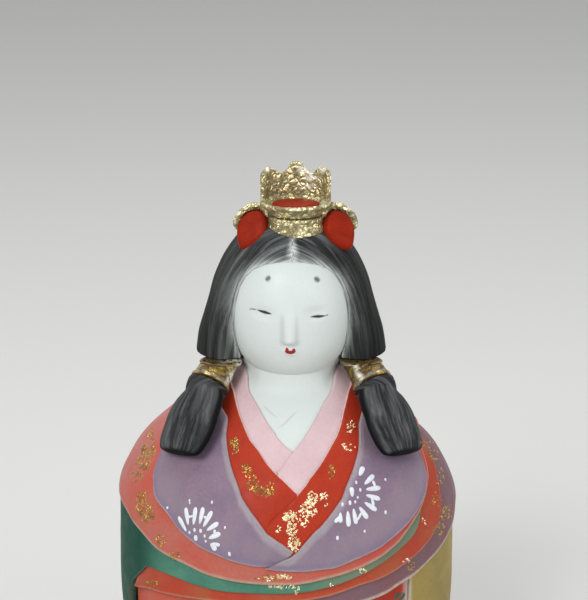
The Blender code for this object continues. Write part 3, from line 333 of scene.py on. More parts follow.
def makeEdgeGroup():
    # a brushed line of another colour along an edge, uneven as a brush leaves it
    tree, given, out = nodeGroup("brushedEdge", {
        "Distance": 1.0, "Width": 0.7 * mm, "Softness": 0.3 * mm, "Waver": 0.4 * mm,
        "Strength": 1.0}, ("Mask",))
    place = objectPlace(tree)
    waver = mathNode(tree, "SUBTRACT", noiseNode(tree, place, 330.0), 0.5)
    distance = mathNode(tree, "ADD", given["Distance"], times(tree, waver, given["Waver"]))
    low = mathNode(tree, "SUBTRACT", given["Width"], given["Softness"])
    mask = rangeNode(tree, distance, low, given["Width"], 1.0, 0.0)
    thin = rangeNode(tree, noiseNode(tree, place, 700.0), 0.35, 0.6, 0.75, 1.0)
    put(tree, out, {"Mask": times(tree, times(tree, mask, thin), given["Strength"])})
    return tree


def makeLeafGroup():
    # crinkled gold leaf: sharp little folds, worn brown hollows and pale high spots
    tree, given, out = nodeGroup("crinkledLeaf", {
        "Bright": (0.78, 0.58, 0.22, 1), "Worn": (0.20, 0.10, 0.03, 1), "Fold Size": 520.0,
        "Wear": 0.5}, ("Colour", "Height", "Rough", "Metal"))
    place = objectPlace(tree)
    warp = (2.2 * mm, 2.2 * mm, 2.2 * mm)
    warped = mathNode(tree, "MULTIPLY_ADD", noiseNode(tree, place, 380.0), warp, place,
                      kind="ShaderNodeVectorMath")
    cells = tree.nodes.new("ShaderNodeTexVoronoi")
    cells.feature = "DISTANCE_TO_EDGE"
    put(tree, cells, {"Vector": warped, "Scale": given["Fold Size"]})
    away = cells.outputs["Distance"]
    crumple = noiseNode(tree, place, 900.0, 4.0, 0.7)
    worn = rangeNode(tree, noiseNode(tree, place, 460.0, 5.0, 0.7), 0.44, 0.58)
    creases = rangeNode(tree, away, 0.02, 0.12, 1.0, 0.0)
    worn = times(tree, mathNode(tree, "MAXIMUM", worn, creases), given["Wear"])
    put(tree, out, {
        "Colour": mixNode(tree, worn, given["Bright"], given["Worn"]),
        "Height": mathNode(tree, "MULTIPLY_ADD", rangeNode(tree, away, 0.0, 0.32), 0.55, crumple),
        "Rough": rangeNode(tree, worn, 0.0, 1.0, 0.24, 0.62),
        "Metal": rangeNode(tree, worn, 0.0, 1.0, 1.0, 0.45)})
    return tree


def makeStrandGroup():
    # brush strokes along the hair, read from how far across and how far down a point lies
    tree, given, out = nodeGroup("hairStrands", {
        "Dark": (0.03, 0.034, 0.036, 1), "Light": (0.16, 0.17, 0.17, 1), "Strand": (0.0, 0.0, 0.0),
        "Streaks": 0.7}, ("Colour", "Height", "Rough"))
    fine = noiseNode(tree, given["Strand"], 1.0, distortion=0.15)
    wide = mathNode(tree, "MULTIPLY", given["Strand"], (0.27, 0.5, 1.0),
                    kind="ShaderNodeVectorMath")
    broad = rangeNode(tree, noiseNode(tree, wide, 1.0, 2.0, 0.5, 0.2), 0.42, 0.64)
    narrow = times(tree, rangeNode(tree, fine, 0.46, 0.66), 0.6)
    mask = mathNode(tree, "MULTIPLY_ADD", broad, 0.55, narrow)
    mask = times(tree, mask, given["Streaks"], clamped=True)
    put(tree, out, {
        "Colour": mixNode(tree, mask, given["Dark"], given["Light"]), "Height": fine,
        "Rough": rangeNode(tree, fine, 0.3, 0.7, -0.08, 0.1)})
    return tree


paintGroup = makePaintGroup()
edgeGroup = makeEdgeGroup()
leafGroup = makeLeafGroup()
strandGroup = makeStrandGroup()
print("node groups made")


def placed(tree, group, values):
    node = tree.nodes.new("ShaderNodeGroup")
    node.node_tree = group
    return put(tree, node, values).outputs


def newFinish(name, rough, metal=0.0, coat=0.0, gloss=0.17):
    finish = bpy.data.materials.new(name)
    finish.use_nodes = True
    tree = finish.node_tree
    shader = put(tree, tree.nodes["Principled BSDF"], {
        "Roughness": rough, "Metallic": metal, "Coat Weight": coat, "Coat Roughness": 0.35,
        "IOR": 1.45, "Specular IOR Level": gloss})
    return finish, tree, shader


def bumped(tree, height, strength, distance):
    return put(tree, tree.nodes.new("ShaderNodeBump"), {
        "Strength": strength, "Distance": distance, "Height": height}).outputs[0]


def toned(colour):
    return (*colour, 1)


def paintFinish(name, colour, second, rough, drifts=(), edges=(), coat=0.0, gloss=0.17,
                patchSize=90.0, patches=0.6, specks=0.2, grain=1.0, bump=0.35):
    # a drift to another tone: attribute, tone, from, to, strength
    # an edge line: attribute, tone, width, softness, waver, strength
    finish, tree, shader = newFinish(name, rough, coat=coat, gloss=gloss)
    paint = placed(tree, paintGroup, {
        "Colour": toned(colour), "Second": toned(second), "Patch Size": patchSize,
        "Patches": patches, "Specks": specks, "Grain": grain})
    shade = paint["Colour"]
    for attribute, tone, low, high, strength in drifts:
        drift = times(tree, rangeNode(tree, marked(tree, attribute), low, high), strength)
        shade = mixNode(tree, drift, shade, toned(tone))
    for attribute, tone, width, softness, waver, strength in edges:
        edge = placed(tree, edgeGroup, {
            "Distance": marked(tree, attribute), "Width": width, "Softness": softness,
            "Waver": waver, "Strength": strength})
        shade = mixNode(tree, edge["Mask"], shade, toned(tone))
    put(tree, shader, {
        "Base Color": shade, "Roughness": mathNode(tree, "ADD", paint["Rough"], rough),
        "Normal": bumped(tree, paint["Height"], bump, 0.12 * mm)})
    return finish


def leafFinish(name, bright, worn, foldSize, wear, relief):
    finish, tree, shader = newFinish(name, 0.3, 1.0, gloss=0.5)
    leaf = placed(tree, leafGroup, {
        "Bright": toned(bright), "Worn": toned(worn), "Fold Size": foldSize, "Wear": wear})
    patchy = rangeNode(tree, noiseNode(tree, objectPlace(tree), 620.0, 4.0, 0.65), 0.36, 0.52)
    # painted highlight: pale patches where the gold carries the highlight mark
    glint = times(tree, marked(tree, "glint"), patchy, clamped=True)
    put(tree, shader, {
        "Base Color": mixNode(tree, glint, leaf["Colour"], toned(glintTone)),
        "Roughness": leaf["Rough"], "Metallic": leaf["Metal"],
        "Normal": bumped(tree, leaf["Height"], 0.9, relief)})
    return finish


def hairFinish(name, dark, light, streaks, rough, sideShadeTone=None, paleTone=None, tipTone=None):
    finish, tree, shader = newFinish(name, rough, gloss=0.08)
    hair = placed(tree, strandGroup, {
        "Dark": toned(dark), "Light": toned(light), "Strand": marked(tree, "strand", "Vector"),
        "Streaks": streaks})
    colour = hair["Colour"]
    # painted shade: the hair darkens towards its sides and over its back, by the dark mark
    if sideShadeTone:
        paintedSideShade = times(tree, marked(tree, "dark"), 0.88)
        colour = mixNode(tree, paintedSideShade, colour, toned(sideShadeTone))
    if paleTone:
        fade = rangeNode(tree, hair["Height"], 0.40, 0.60, 0.45, 1.25)
        fade = times(tree, times(tree, marked(tree, "pale"), fade), 0.97, clamped=True)
        colour = mixNode(tree, fade, colour, toned(paleTone))
    if tipTone:
        colour = mixNode(tree, marked(tree, "tip"), colour, toned(tipTone))
    paint = placed(tree, paintGroup, {"Colour": colour, "Second": colour, "Specks": 0.15})
    put(tree, shader, {
        "Base Color": paint["Colour"], "Roughness": mathNode(tree, "ADD", hair["Rough"], rough),
        "Normal": bumped(tree, hair["Height"], 0.5, 0.18 * mm)})
    return finish


cream = (0.46, 0.37, 0.27)
faceTone = (0.655, 0.708, 0.690)
# colour of the painted highlights on the gold
glintTone = (0.95, 0.92, 0.78)
finishes = {
    "clay": paintFinish("bareClay", colour=(0.40, 0.33, 0.26), second=(0.32, 0.26, 0.20),
                                     rough=0.85),
    "lavender": paintFinish("lavenderPaint", 
        colour=(0.258, 0.180, 0.236), second=(0.192, 0.142, 0.212), rough=0.50,
        patchSize=85.0, patches=0.8,
        drifts=(("fromHem", (0.30, 0.25, 0.30), 0.012, 0.004, 0.35),),
        edges=(("fromHem", (0.13, 0.115, 0.26), 0.0030, 0.0026, 0.0024, 0.32),
                  ("fromNeck", (0.38, 0.34, 0.36), 0.0027, 0.0016, 0.0012, 0.75),
                  ("fromHem", (0.42, 0.35, 0.33), 0.0008, 0.0004, 0.0005, 0.75))),
    "scarlet": paintFinish("scarletPaint", 
        colour=(0.415, 0.036, 0.013), second=(0.325, 0.026, 0.012), rough=0.45,
        edges=(("fromNeck", (0.74, 0.60, 0.55), 0.00042, 0.0002, 0.0002, 0.9),)),
    "ribbonRed": paintFinish("ribbonRed", 
        colour=(0.285, 0.020, 0.007), second=(0.190, 0.013, 0.005), rough=0.45, gloss=0.06,
        patchSize=260.0),
    "skirtRed": paintFinish("skirtRed", 
        colour=(0.440, 0.040, 0.020), second=(0.345, 0.030, 0.016), rough=0.45,
        edges=(("fromEnd", (0.50, 0.42, 0.40), 0.0085, 0.0022, 0.0012, 0.95),)),
    # the grey line along the inner edge is painted shade at the step down to the chest
    "pink": paintFinish("pinkPaint", 
        colour=(0.670, 0.500, 0.520), second=(0.600, 0.420, 0.450), rough=0.5, specks=0.1,
        grain=0.6, edges=(("fromNeck", (0.47, 0.36, 0.37), 0.0003, 0.0002, 0.0001, 0.6),
                                ("fromEnd", (0.42, 0.32, 0.34), 0.0004, 0.0003, 0.0002, 0.7))),
    "salmon": paintFinish("salmonPaint", 
        colour=(0.500, 0.098, 0.066), second=(0.460, 0.165, 0.130), rough=0.45,
        drifts=(("around", (0.46, 0.16, 0.14), -0.34, -0.52, 0.7),
                   ("around", (0.52, 0.085, 0.075), 0.05, 0.2, 0.6)),
        edges=(("fromHem", cream, 0.0012, 0.0008, 0.0007, 0.8),)),
    # painted shade: darker green towards the far left side; greyer green just right of the front
    "green": paintFinish("greenPaint", 
        colour=(0.088, 0.235, 0.165), second=(0.050, 0.170, 0.125), rough=0.45, gloss=0.06,
        drifts=(("around", (0.010, 0.066, 0.045), -0.25, -0.35, 1.0),
                   ("around", (0.19, 0.22, 0.15), 0.0, 0.12, 0.8)),
        edges=(("fromHem", (0.16, 0.20, 0.15), 0.0005, 0.0004, 0.0005, 0.5),)),
    "brick": paintFinish("brickRedPaint", 
        colour=(0.430, 0.055, 0.028), second=(0.380, 0.105, 0.045), rough=0.45,
        patches=0.75,
        edges=(("fromHem", (0.46, 0.24, 0.15), 0.0009, 0.0006, 0.0006, 0.75),
                  ("fromEnd", cream, 0.0007, 0.0003, 0.0004, 0.6))),
    "mauve": paintFinish("mauvePaint", 
        colour=(0.192, 0.110, 0.130), second=(0.228, 0.086, 0.094), rough=0.5,
        patches=0.6,
        edges=(("fromHem", (0.52, 0.45, 0.36), 0.0013, 0.0007, 0.0006, 0.9),)),
    "ochre": paintFinish("ochrePaint", 
        colour=(0.350, 0.265, 0.080), second=(0.250, 0.185, 0.060), rough=0.55,
        edges=(("fromEnd", (0.50, 0.44, 0.36), 0.0009, 0.0006, 0.0004, 0.8),)),
    "coral": paintFinish("coralPaint", 
        colour=(0.520, 0.090, 0.055), second=(0.450, 0.130, 0.090), rough=0.45,
        edges=(("fromNeck", cream, 0.0008, 0.0004, 0.0005, 0.85),
                  ("fromHem", cream, 0.0008, 0.0004, 0.0005, 0.85))),
    "cream": paintFinish("creamPaint", colour=cream, second=(0.40, 0.33, 0.24), rough=0.6),
    # the shade mark lays painted grey shade beside the nose, under its tip and over the eyes
    "white": paintFinish("shellWhite", 
        colour=faceTone, second=(0.625, 0.680, 0.662), rough=0.42, coat=0.04,
        patches=0.4, specks=0.03, bump=0.05, grain=0.22,
        drifts=(("shade", (0.40, 0.44, 0.44), 0.0, 1.0, 0.42),)),
    "petal": paintFinish("petalWhite", 
        colour=(0.76, 0.80, 0.84), second=(0.66, 0.70, 0.76), rough=0.45, specks=0.05),
    "ink": paintFinish("darkInk", 
        colour=(0.030, 0.032, 0.034), second=(0.05, 0.05, 0.05), rough=0.5,
        edges=(("fromRim", faceTone, 0.55, 0.50, 0.0, 1.0),)),
    "browGrey": paintFinish("browGrey", 
        colour=(0.130, 0.150, 0.155), second=(0.17, 0.19, 0.19), rough=0.5,
        edges=(("fromRim", faceTone, 0.85, 0.84, 0.0, 1.0),)),
    "faintGrey": paintFinish("faintGrey", 
        colour=(0.52, 0.565, 0.56), second=(0.56, 0.60, 0.60), rough=0.45, grain=0.3,
        edges=(("fromRim", faceTone, 0.95, 0.90, 0.0, 1.0),)),
    "lip": paintFinish("lipRed", 
        colour=(0.300, 0.022, 0.026), second=(0.24, 0.02, 0.02), rough=0.35, specks=0.0,
        edges=(("fromRim", (0.62, 0.36, 0.38), 0.30, 0.28, 0.0, 1.0),)),
    "motifGreen": paintFinish("motifGreen", 
        colour=(0.030, 0.110, 0.070), second=(0.05, 0.16, 0.11), rough=0.5),
    "gold": leafFinish("goldLeaf", 
        bright=(0.84, 0.78, 0.46), worn=(0.120, 0.080, 0.030), foldSize=620.0, wear=0.85,
        relief=0.00034),
    "bandGold": leafFinish("bandGold", 
        bright=(0.33, 0.22, 0.055), worn=(0.055, 0.028, 0.008), foldSize=280.0, wear=0.92,
        relief=0.00016),
    # painted highlight: near-white gold where the foil catches the light
    "foilHighlit": leafFinish("highlitGoldFoil", 
        bright=(0.95, 0.88, 0.60), worn=(0.42, 0.26, 0.08), foldSize=900.0, wear=0.6,
        relief=0.00024),
    # the same foil in darker gold
    "foilDark": leafFinish("darkerGoldFoil", 
        bright=(0.66, 0.42, 0.11), worn=(0.120, 0.055, 0.012), foldSize=900.0, wear=0.8,
        relief=0.00026),
    # its side tone is painted shade on the hair's sides
    "hair": hairFinish("brushedHair", 
        dark=(0.024, 0.026, 0.027), light=(0.190, 0.200, 0.200), streaks=0.85, rough=0.60,
        sideShadeTone=(0.004, 0.004, 0.004), paleTone=(0.62, 0.67, 0.655)),
    "lockHair": hairFinish("lockHair", 
        dark=(0.018, 0.020, 0.021), light=(0.115, 0.122, 0.122), streaks=0.9, rough=0.5,
        tipTone=(0.004, 0.004, 0.005)),
}
print("finishes made")


# Mesh helpers

def inScene(name, data):
    made = bpy.data.objects.new(name, data)
    bpy.context.scene.collection.objects.link(made)
    return made


def meshOf(bm, name):
    bmesh.ops.recalc_face_normals(bm, faces=bm.faces)
    mesh = bpy.data.meshes.new(name)
    bm.to_mesh(mesh)
    bm.free()
    return mesh


def finished(bm, name, finish, nodes, sharp=50):
    mesh = meshOf(bm, name)
    mesh.materials.append(finishes[finish])
    mesh.shade_smooth()
    mesh.set_sharp_from_angle(angle=math.radians(sharp))
    piece = inScene(name, mesh)
    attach(piece, "root")
    if nodes:
        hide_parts(*nodes)
    return piece


def borderSteps(radius):
    # distances from an edge at which rows lie, closer together where the edge rounds over
    return [radius * share for share in (0.0, 0.035, 0.13, 0.32, 0.62, 1.0)]


def rowShares(length, count, radius):
    edge = borderSteps(min(radius, length * 0.2))
    low, high = edge[-1] / length, 1 - edge[-1] / length
    middle = [low + (high - low) * k / count for k in range(1, count)]
    return [d / length for d in edge] + middle + [1 - d / length for d in reversed(edge)]


def fall(distance, reach):
    t = min(abs(distance) / reach, 1)
    return (1 - t * t) ** 2


def runs(points):
    # distance covered at each point
    run = [0.0]
    for one, two in zip(points, points[1:]):
        run.append(run[-1] + (two - one).length)
    return run


slabSettings = {
    "bead": 0.0, "beadReach": 0.6 * mm, "neckBead": 0.0, "neckBeadReach": 0.5 * mm,
    "bumps": 0.0, "bumpScale": 110, "bumpEase": 2.0 * mm, "overLift": 0.0, "overReach": 4.0 * mm,
    "underDrop": 0.0, "underEnd": 2.6 * mm, "underEase": 1.8 * mm, "plainStart": 0.0,
    "inward": None,
}


def slab(name, grid, normals, setting, finish, nodes, closed=False):
    # a closed sheet with round edges: grid[column][row] runs from the upper edge to the lower
    s = dict(slabSettings, **setting)
    columns, rows = len(grid), len(grid[0])
    down = [runs(column) for column in grid]
    across = list(zip(*(runs(row) for row in zip(*grid))))
    bm = bmesh.new()
    marks = [bm.verts.layers.float.new(key) for key in ("fromHem", "fromNeck", "fromEnd", "around")]
    outer, inner = [[] for column in grid], [[] for column in grid]
    for c in range(columns):
        for r in range(rows):
            hemAway, neckAway = down[c][-1] - down[c][r], down[c][r]
            toEnd = across[-1][r] - across[c][r]
            endAway = 1.0 if closed else min(across[c][r], toEnd)
            near = min(hemAway, neckAway, endAway)
            ease = min(near / s["round"], 1)
            half = s["thick"] / 2 * math.sqrt(max(1 - (1 - ease) ** 2, 0))
            lift = s["bead"] * fall(hemAway - s["beadReach"], s["beadReach"])
            lift += s["neckBead"] * fall(neckAway - s["neckBeadReach"], s["neckBeadReach"])
            bumps = s["bumps"] * noise.noise(grid[c][r] * s["bumpScale"])
            shift = s["overLift"] * fall(across[c][r], s["overReach"])
            shift -= s["underDrop"] * (1 - eased((toEnd - s["underEnd"]) / s["underEase"]))
            for sign, side in ((1, outer), (-1, inner)):
                move = sign * half + shift
                if sign > 0:
                    move += lift * ease + bumps * min(near / s["bumpEase"], 1)
                elif s["inward"]:
                    move -= s["inward"](grid[c][r]) * ease
                vert = bm.verts.new(grid[c][r] + normals[c][r] * move)
                plain = across[c][r] < s["plainStart"]
                turn = math.atan2(vert.co.x - form["place"].x, -vert.co.y) / math.pi
                for mark, value in zip(marks, (hemAway, 1.0 if plain else neckAway, endAway, turn)):
                    vert[mark] = value
                side[c].append(vert)
    for c in range(columns if closed else columns - 1):
        d = (c + 1) % columns
        for r in range(rows - 1):
            bm.faces.new((outer[c][r], outer[c][r + 1], outer[d][r + 1], outer[d][r]))
            bm.faces.new((inner[c][r], inner[d][r], inner[d][r + 1], inner[c][r + 1]))
    bmesh.ops.remove_doubles(bm, verts=bm.verts, dist=0.0001 * mm)
    return finished(bm, name, finish, nodes)


def onForm(upper, lower, outset, setting):
    # grid of places and outward ways between two edges given as (angle, height) pairs
    grid, normals = [], []
    for (highAngle, high), (lowAngle, low) in zip(upper, lower):
        length = (formPoint(highAngle, high, outset) - formPoint(lowAngle, low, outset)).length
        column, ways = [], []
        for share in rowShares(max(length, 0.8 * mm), setting["rows"], setting["round"]):
            place, out = formFrame(highAngle + (lowAngle - highAngle) * share,
                                   high + (low - high) * share)
            column.append(place + out * outset)
            ways.append(out.normalized())
        grid.append(column)
        normals.append(ways)
    return grid, normals


def span(one, two):
    # distance between two (angle, height) places, on the layers' middle
    return (formPoint(*one, 6.0 * mm) - formPoint(*two, 6.0 * mm)).length


def denser(pairs, setting):
    # more columns between the given ones, crowded at both ends so that the ends round over
    out = []
    for one, two in zip(pairs, pairs[1:]):
        count = max(1, round(max(span(one[0], two[0]), span(one[1], two[1])) / setting["column"]))
        out += [between(one, two, k / count) for k in range(count)]
    out.append(pairs[-1])

    def ended(run):
        length = max(span(run[0][0], run[1][0]), 0.4 * mm)
        steps = [d / length for d in borderSteps(min(setting["round"], length * 0.8))]
        return [between(run[0], run[1], share) for share in steps] + run[1:]

    return ended(ended(out)[::-1])[::-1]


def between(one, two, share):
    return tuple((a[0] + (b[0] - a[0]) * share, a[1] + (b[1] - a[1]) * share)
                 for a, b in zip(one, two))


# Robes

robeSettings = {
    "thick": form["sheet"] + 0.3 * mm, "round": 0.45 * mm, "rows": 16, "column": 1.0 * mm,
    "bead": 0.14 * mm, "bumps": 0.16 * mm, "bumpScale": 105,
}


def robe(name, layer, angles, edge, finish, node, lean=None, upper=None, setting=None):
    # lean spreads the hem past its first angle, so that the second comes to lie at the third
    setting = dict(robeSettings, **(setting or {}))
    high = upper or (lambda angle: shelf(layer, angle) - form["clear"])
    pairs = []
    for angle in angles:
        leant = angle
        if lean and angle < lean[0]:
            leant = lean[0] + (angle - lean[0]) * (lean[2] - lean[0]) / (lean[1] - lean[0])
        pairs.append(((angle, high(angle)), (leant, edge(leant))))
    closed = angles[-1] - angles[0] > 357
    if not closed:
        pairs = denser(pairs, setting)
    grid, normals = onForm(*zip(*pairs), layerTop(layer) - setting["thick"] / 2, setting)
    return slab(name, grid, normals, setting, finish, (node,), closed)


def angleRun(start, end, step=1.5):
    count = max(2, round((end - start) / step))
    return [start + (end - start) * k / count for k in range(count + 1)]


fullTurn = angleRun(-180, 180)[:-1]
robe("salmonRobe", "salmon", fullTurn, salmonHem, "salmon", "salmon_robe")


def sideInward(point):
    # the thick edge at the green robe's parting corner at the side, darkened there by the green's
    # painted shade
    turn = math.degrees(math.atan2(point.x - form["place"].x, -point.y))
    return 1.9 * mm * fall(turn + 82, 26)


robe("greenRobe", "green", fullTurn, greenHem, "green", "green_robe",
     setting={"inward": sideInward})
robe("redRobe", "red", angleRun(-56, 226), redHem, "brick", "red_robe",
     lean=(-40, -56, -67))
robe("mauveRobe", "mauve", angleRun(-10, 222), mauveHem, "mauve", "mauve_robe")
robe("coralRobe", "ochre", angleRun(-70, 4), coralHem, "coral", "coral_robe")
robe("ochreRobe", "ochre", angleRun(45, 287), lambda angle: form["footClear"], "ochre",
     "ochre_robe", setting={"rows": 40})
robe("frontSkirt", "skirt", angleRun(-82, 54), lambda angle: form["footClear"], "skirtRed",
     "front_skirt", upper=lambda angle: shelf("ochre", angle) - form["tuck"],
     setting={"rows": 36})
print("robes made")


# Collars and jacket

def corners(table):
    seam = math.degrees(form["step"] / form["radius"])
    return [((up[0] - seams * seam, up[1] * form["height"]),
             (low[0] - seams * seam, low[1] * form["height"] - tucks * form["collarTuck"]))
            for up, low, seams, tucks in table]


def ribbon(name, inner, outer, crossing, layer, finish, node, setting=None):
    setting = dict(robeSettings, **(setting or {}))
    start, end = corners(crossing["under"]), corners(crossing["over"])
    first, last = start[-1], end[0]
    span = 360 - last[0][0] + first[0][0]
    highs = angleRun(last[0][0] - 360, first[0][0], 1.5)
    lows = [last[1][0] - 360 + (angle - highs[0]) * (first[1][0] - last[1][0] + 360) / span
            for angle in highs]
    pairs = [((a, inner(wrap(a))), (b, outer(wrap(b)))) for a, b in zip(highs, lows)]
    pairs[0] = tuple((angle - 360, height) for angle, height in last)
    pairs[-1] = first
    before = [tuple((angle - 360, height) for angle, height in pair) for pair in reversed(end[1:])]
    pairs = denser(before + pairs + list(reversed(start[:-1])), setting)
    grid, normals = onForm(*zip(*pairs), layerTop(layer) - setting["thick"] / 2, setting)
    return slab(name, grid, normals, setting, finish, (node,))


collarSettings = {"rows": 12, "bead": 0.0, "neckBead": 0.10 * mm, "bumps": 0.10 * mm,
                  "overLift": 0.10 * mm, "underDrop": 0.42 * mm}
ribbon("pinkCollar", neckEdge("pinkCollar"), neckEdge("redCollar", form["collarTuck"]),
       crossings["pinkCollar"], "pinkCollar", "pink", "pink_collar", collarSettings)
ribbon("redCollar", neckEdge("redCollar"), neckEdge("jacket", form["collarTuck"]),
       crossings["redCollar"], "redCollar", "scarlet", "red_collar",
       dict(collarSettings, plainStart=8.4 * mm))
ribbon("lavenderJacket", neckEdge("jacket"), jacketHem, crossings["jacket"], "jacket",
       "lavender", "lavender_jacket",
       {"rows": 30, "neckBead": 0.12 * mm, "overLift": 0.25 * mm, "underDrop": 0.55 * mm})
print("collars and jacket made")


# Head, neck and chest

headSizes = {
    "middle": Vector((1.0, -4.3, 109.85)) * mm, "halfWidth": 14.3 * mm, "front": 12.8 * mm,
    "back": 13.0 * mm, "chin": 16.5 * mm, "rise": 18.0 * mm, "fullness": 2.5,
    "neckRadius": 7.8 * mm, "neckPlace": Vector((1.0, -2.3, 0)) * mm,
    "neckFoot": 80.0 * mm, "neckTop": 102.0 * mm,
    "noseLength": 6.8 * mm, "noseHeight": 1.6 * mm, "noseHalfWidth": 2.7 * mm, "noseTip": -4.0 * mm,
    "noseTipShare": 0.22, "noseTaper": 0.35,
    "lipDrop": 6.8 * mm, "lipHeight": 0.5 * mm, "lipHalfWidth": 2.9 * mm, "lipHalfHeight": 1.8 * mm,
    "eyeRise": 2.4 * mm, "eyeSpacing": 6.2 * mm, "socketDepth": 0.5 * mm,
    "socketWidth": 3.6 * mm, "socketHeight": 2.4 * mm, "turned": 0.35 * mm,
}


def faceRelief(x, z):
    s = headSizes
    up = min(max((z - s["noseTip"]) / s["noseLength"], -1), 1)
    ridge = 1 - up if up > 0 else fall(up, s["noseTipShare"])
    relief = s["noseHeight"] * ridge * fall(x, s["noseHalfWidth"] * (1 - s["noseTaper"] * max(up,
                                                                                              0)))
    relief += s["lipHeight"] * fall(x, s["lipHalfWidth"]) * fall(z + s["lipDrop"],
                                                                 s["lipHalfHeight"])
    across = (abs(x) - s["eyeSpacing"]) / s["socketWidth"]
    return relief - s["socketDepth"] * fall(math.hypot(across,
                                                       (z - s["eyeRise"]) / s["socketHeight"]), 1)


shadeSizes = {
    "top": 3.4 * mm, "topFade": 2.4 * mm, "foot": -5.4 * mm, "footFade": 1.2 * mm,
    "side": 1.75 * mm, "sideReach": 0.9 * mm, "otherSide": 0.7,
    "tip": -4.9 * mm, "tipWide": 2.0 * mm, "tipTall": 0.6 * mm, "tipShare": 0.5,
    "eye": 6.0 * mm, "eyeRise": 3.4 * mm, "eyeWide": 4.2 * mm, "eyeTall": 1.5 * mm,
    "eyeShare": 0.25,
}


def noseShade(x, z):
    # painted shade: soft grey down both sides of the nose, under its tip and over the eyes
    s = shadeSizes
    down = clamp((s["top"] - z) / s["topFade"]) * clamp((z - s["foot"]) / s["footFade"])
    sides = fall(x + s["side"], s["sideReach"]) + s["otherSide"] * fall(x - s["side"],
                                                                        s["sideReach"])
    tip = fall(x, s["tipWide"]) * fall(z - s["tip"], s["tipTall"])
    eyes = fall(abs(x) - s["eye"], s["eyeWide"]) * fall(z - s["eyeRise"], s["eyeTall"])
    return min(down * sides + s["tipShare"] * tip + s["eyeShare"] * eyes, 1)


def chinWaist(down):
    # half width of cheeks and chin, a share of the way down to the chin
    full = headSizes["fullness"]
    return (1 - down ** full) ** (1 / full) if down < 1 else 0


def headForm(grow, columns, rows, features):
    s = headSizes
    bm = bmesh.new()
    shade = bm.verts.layers.float.new("shade")
    bmesh.ops.create_uvsphere(bm, u_segments=columns, v_segments=rows, radius=1)
    for vert in bm.verts:
        x, y, z = vert.co
        level = math.hypot(x, y)
        widen = 1.0
        if z < 0:
            widen = chinWaist(-z) / level if level > 1e-5 else 2 / s["fullness"]
        point = Vector((x * (s["halfWidth"] + grow) * widen,
                        y * ((s["front"] if y < 0 else s["back"]) + grow) * widen,
                        z * ((s["chin"] if z < 0 else s["rise"]) + grow)))
        if features and y < 0:
            point.y -= faceRelief(point.x + s["turned"], point.z)
            vert[shade] = noseShade(point.x + s["turned"], point.z)
        vert.co = s["middle"] + point
    return bm


def cutBy(piece, cutter, operation):
    boolean = piece.modifiers.new("cut", "BOOLEAN")
    boolean.operation, boolean.solver, boolean.object = operation, "EXACT", cutter
    graph = bpy.context.evaluated_depsgraph_get()
    mesh, old = bpy.data.meshes.new_from_object(piece.evaluated_get(graph)), piece.data
    piece.modifiers.clear()
    piece.data = mesh
    bpy.data.meshes.remove(old)
    bpy.data.objects.remove(cutter)


def tool(bm, name):
    return inScene(name, meshOf(bm, name))


def ringed(rings):
    # a closed solid through rings of equal counts
    bm = bmesh.new()
    rows = [[bm.verts.new(point) for point in ring] for ring in rings]
    for one, two in zip(rows, rows[1:]):
        for k in range(len(one)):
            n = (k + 1) % len(one)
            bm.faces.new((one[k], one[n], two[n], two[k]))
    bm.faces.new(rows[0])
    bm.faces.new(rows[-1][::-1])
    return bm


def turnsOf(count):
    return [2 * math.pi * k / count for k in range(count)]


def roundRing(centre, radiusX, radiusY, height, count=96):
    return [Vector((centre.x + radiusX * math.cos(turn), centre.y + radiusY * math.sin(turn),
                    height))
            for turn in turnsOf(count)]


head = finished(headForm(0.0, 144, 110, True), "head", "white", ("head",))
neckRadius = headSizes["neckRadius"]
neck = ringed([roundRing(headSizes["neckPlace"], neckRadius, neckRadius, height)
               for height in (headSizes["neckFoot"], headSizes["neckTop"])])
cutBy(head, tool(neck, "neckTool"), "UNION")


chestSizes = {
    "throat": (11.3 * mm, 9.2 * mm), "throatPlace": Vector((1.0, -3.2, 99.0)) * mm,
    "throatRows": 16,
}


def makeChest():
    # a throat hidden in the chin and the hair, flaring into the white chest under the pink collar
    s = chestSizes
    outset = layerTop("chest") - form["sheet"] / 2
    grid, normals = [], []
    for angle in angleRun(-180, 180, 2)[:-1]:
        turn = math.radians(angle)
        side = Vector((math.cos(turn), math.sin(turn), 0))
        rim = neckEdge("chest")(angle)
        edge = formPoint(angle, rim, outset)
        top = s["throatPlace"] + Vector((s["throat"][0] * math.sin(turn),
                                         -s["throat"][1] * math.cos(turn), 0))
        low = min(neckEdge("pinkCollar", form["chestTuck"])(angle), rim - form["step"])
        slope = (formPoint(angle, rim - 0.4 * mm, outset) - edge).normalized()
        reach = (edge - top).length
        bends = (top, top + Vector((0, 0, -0.5 * reach)), edge - slope * 0.35 * reach, edge)
        column, ways = [], []
        for k in range(s["throatRows"]):
            t = k / s["throatRows"]
            u = 1 - t
            column.append(bends[0] * u ** 3 + bends[1] * (3 * u * u * t)
                          + bends[2] * (3 * u * t * t)
                          + bends[3] * t ** 3)
            along = ((bends[1] - bends[0]) * (u * u) + (bends[2] - bends[1]) * (2 * u * t)
                     + (bends[3] - bends[2]) * (t * t))
            ways.append(along.cross(side).normalized())
        for share in rowShares(max(rim - low, 1.0 * mm), 12, 0.2 * mm)[1:]:
            place, out = formFrame(angle, rim + (low - rim) * share)
            column.append(place + out * outset)
            ways.append(out.normalized())
        grid.append(column)
        normals.append(ways)
    setting = {"thick": form["sheet"], "round": 0.2 * mm}
    slab("chest", grid, normals, setting, "white", ("neck_and_chest",),
         closed=True)


makeChest()
print("head and chest made")


# Hair

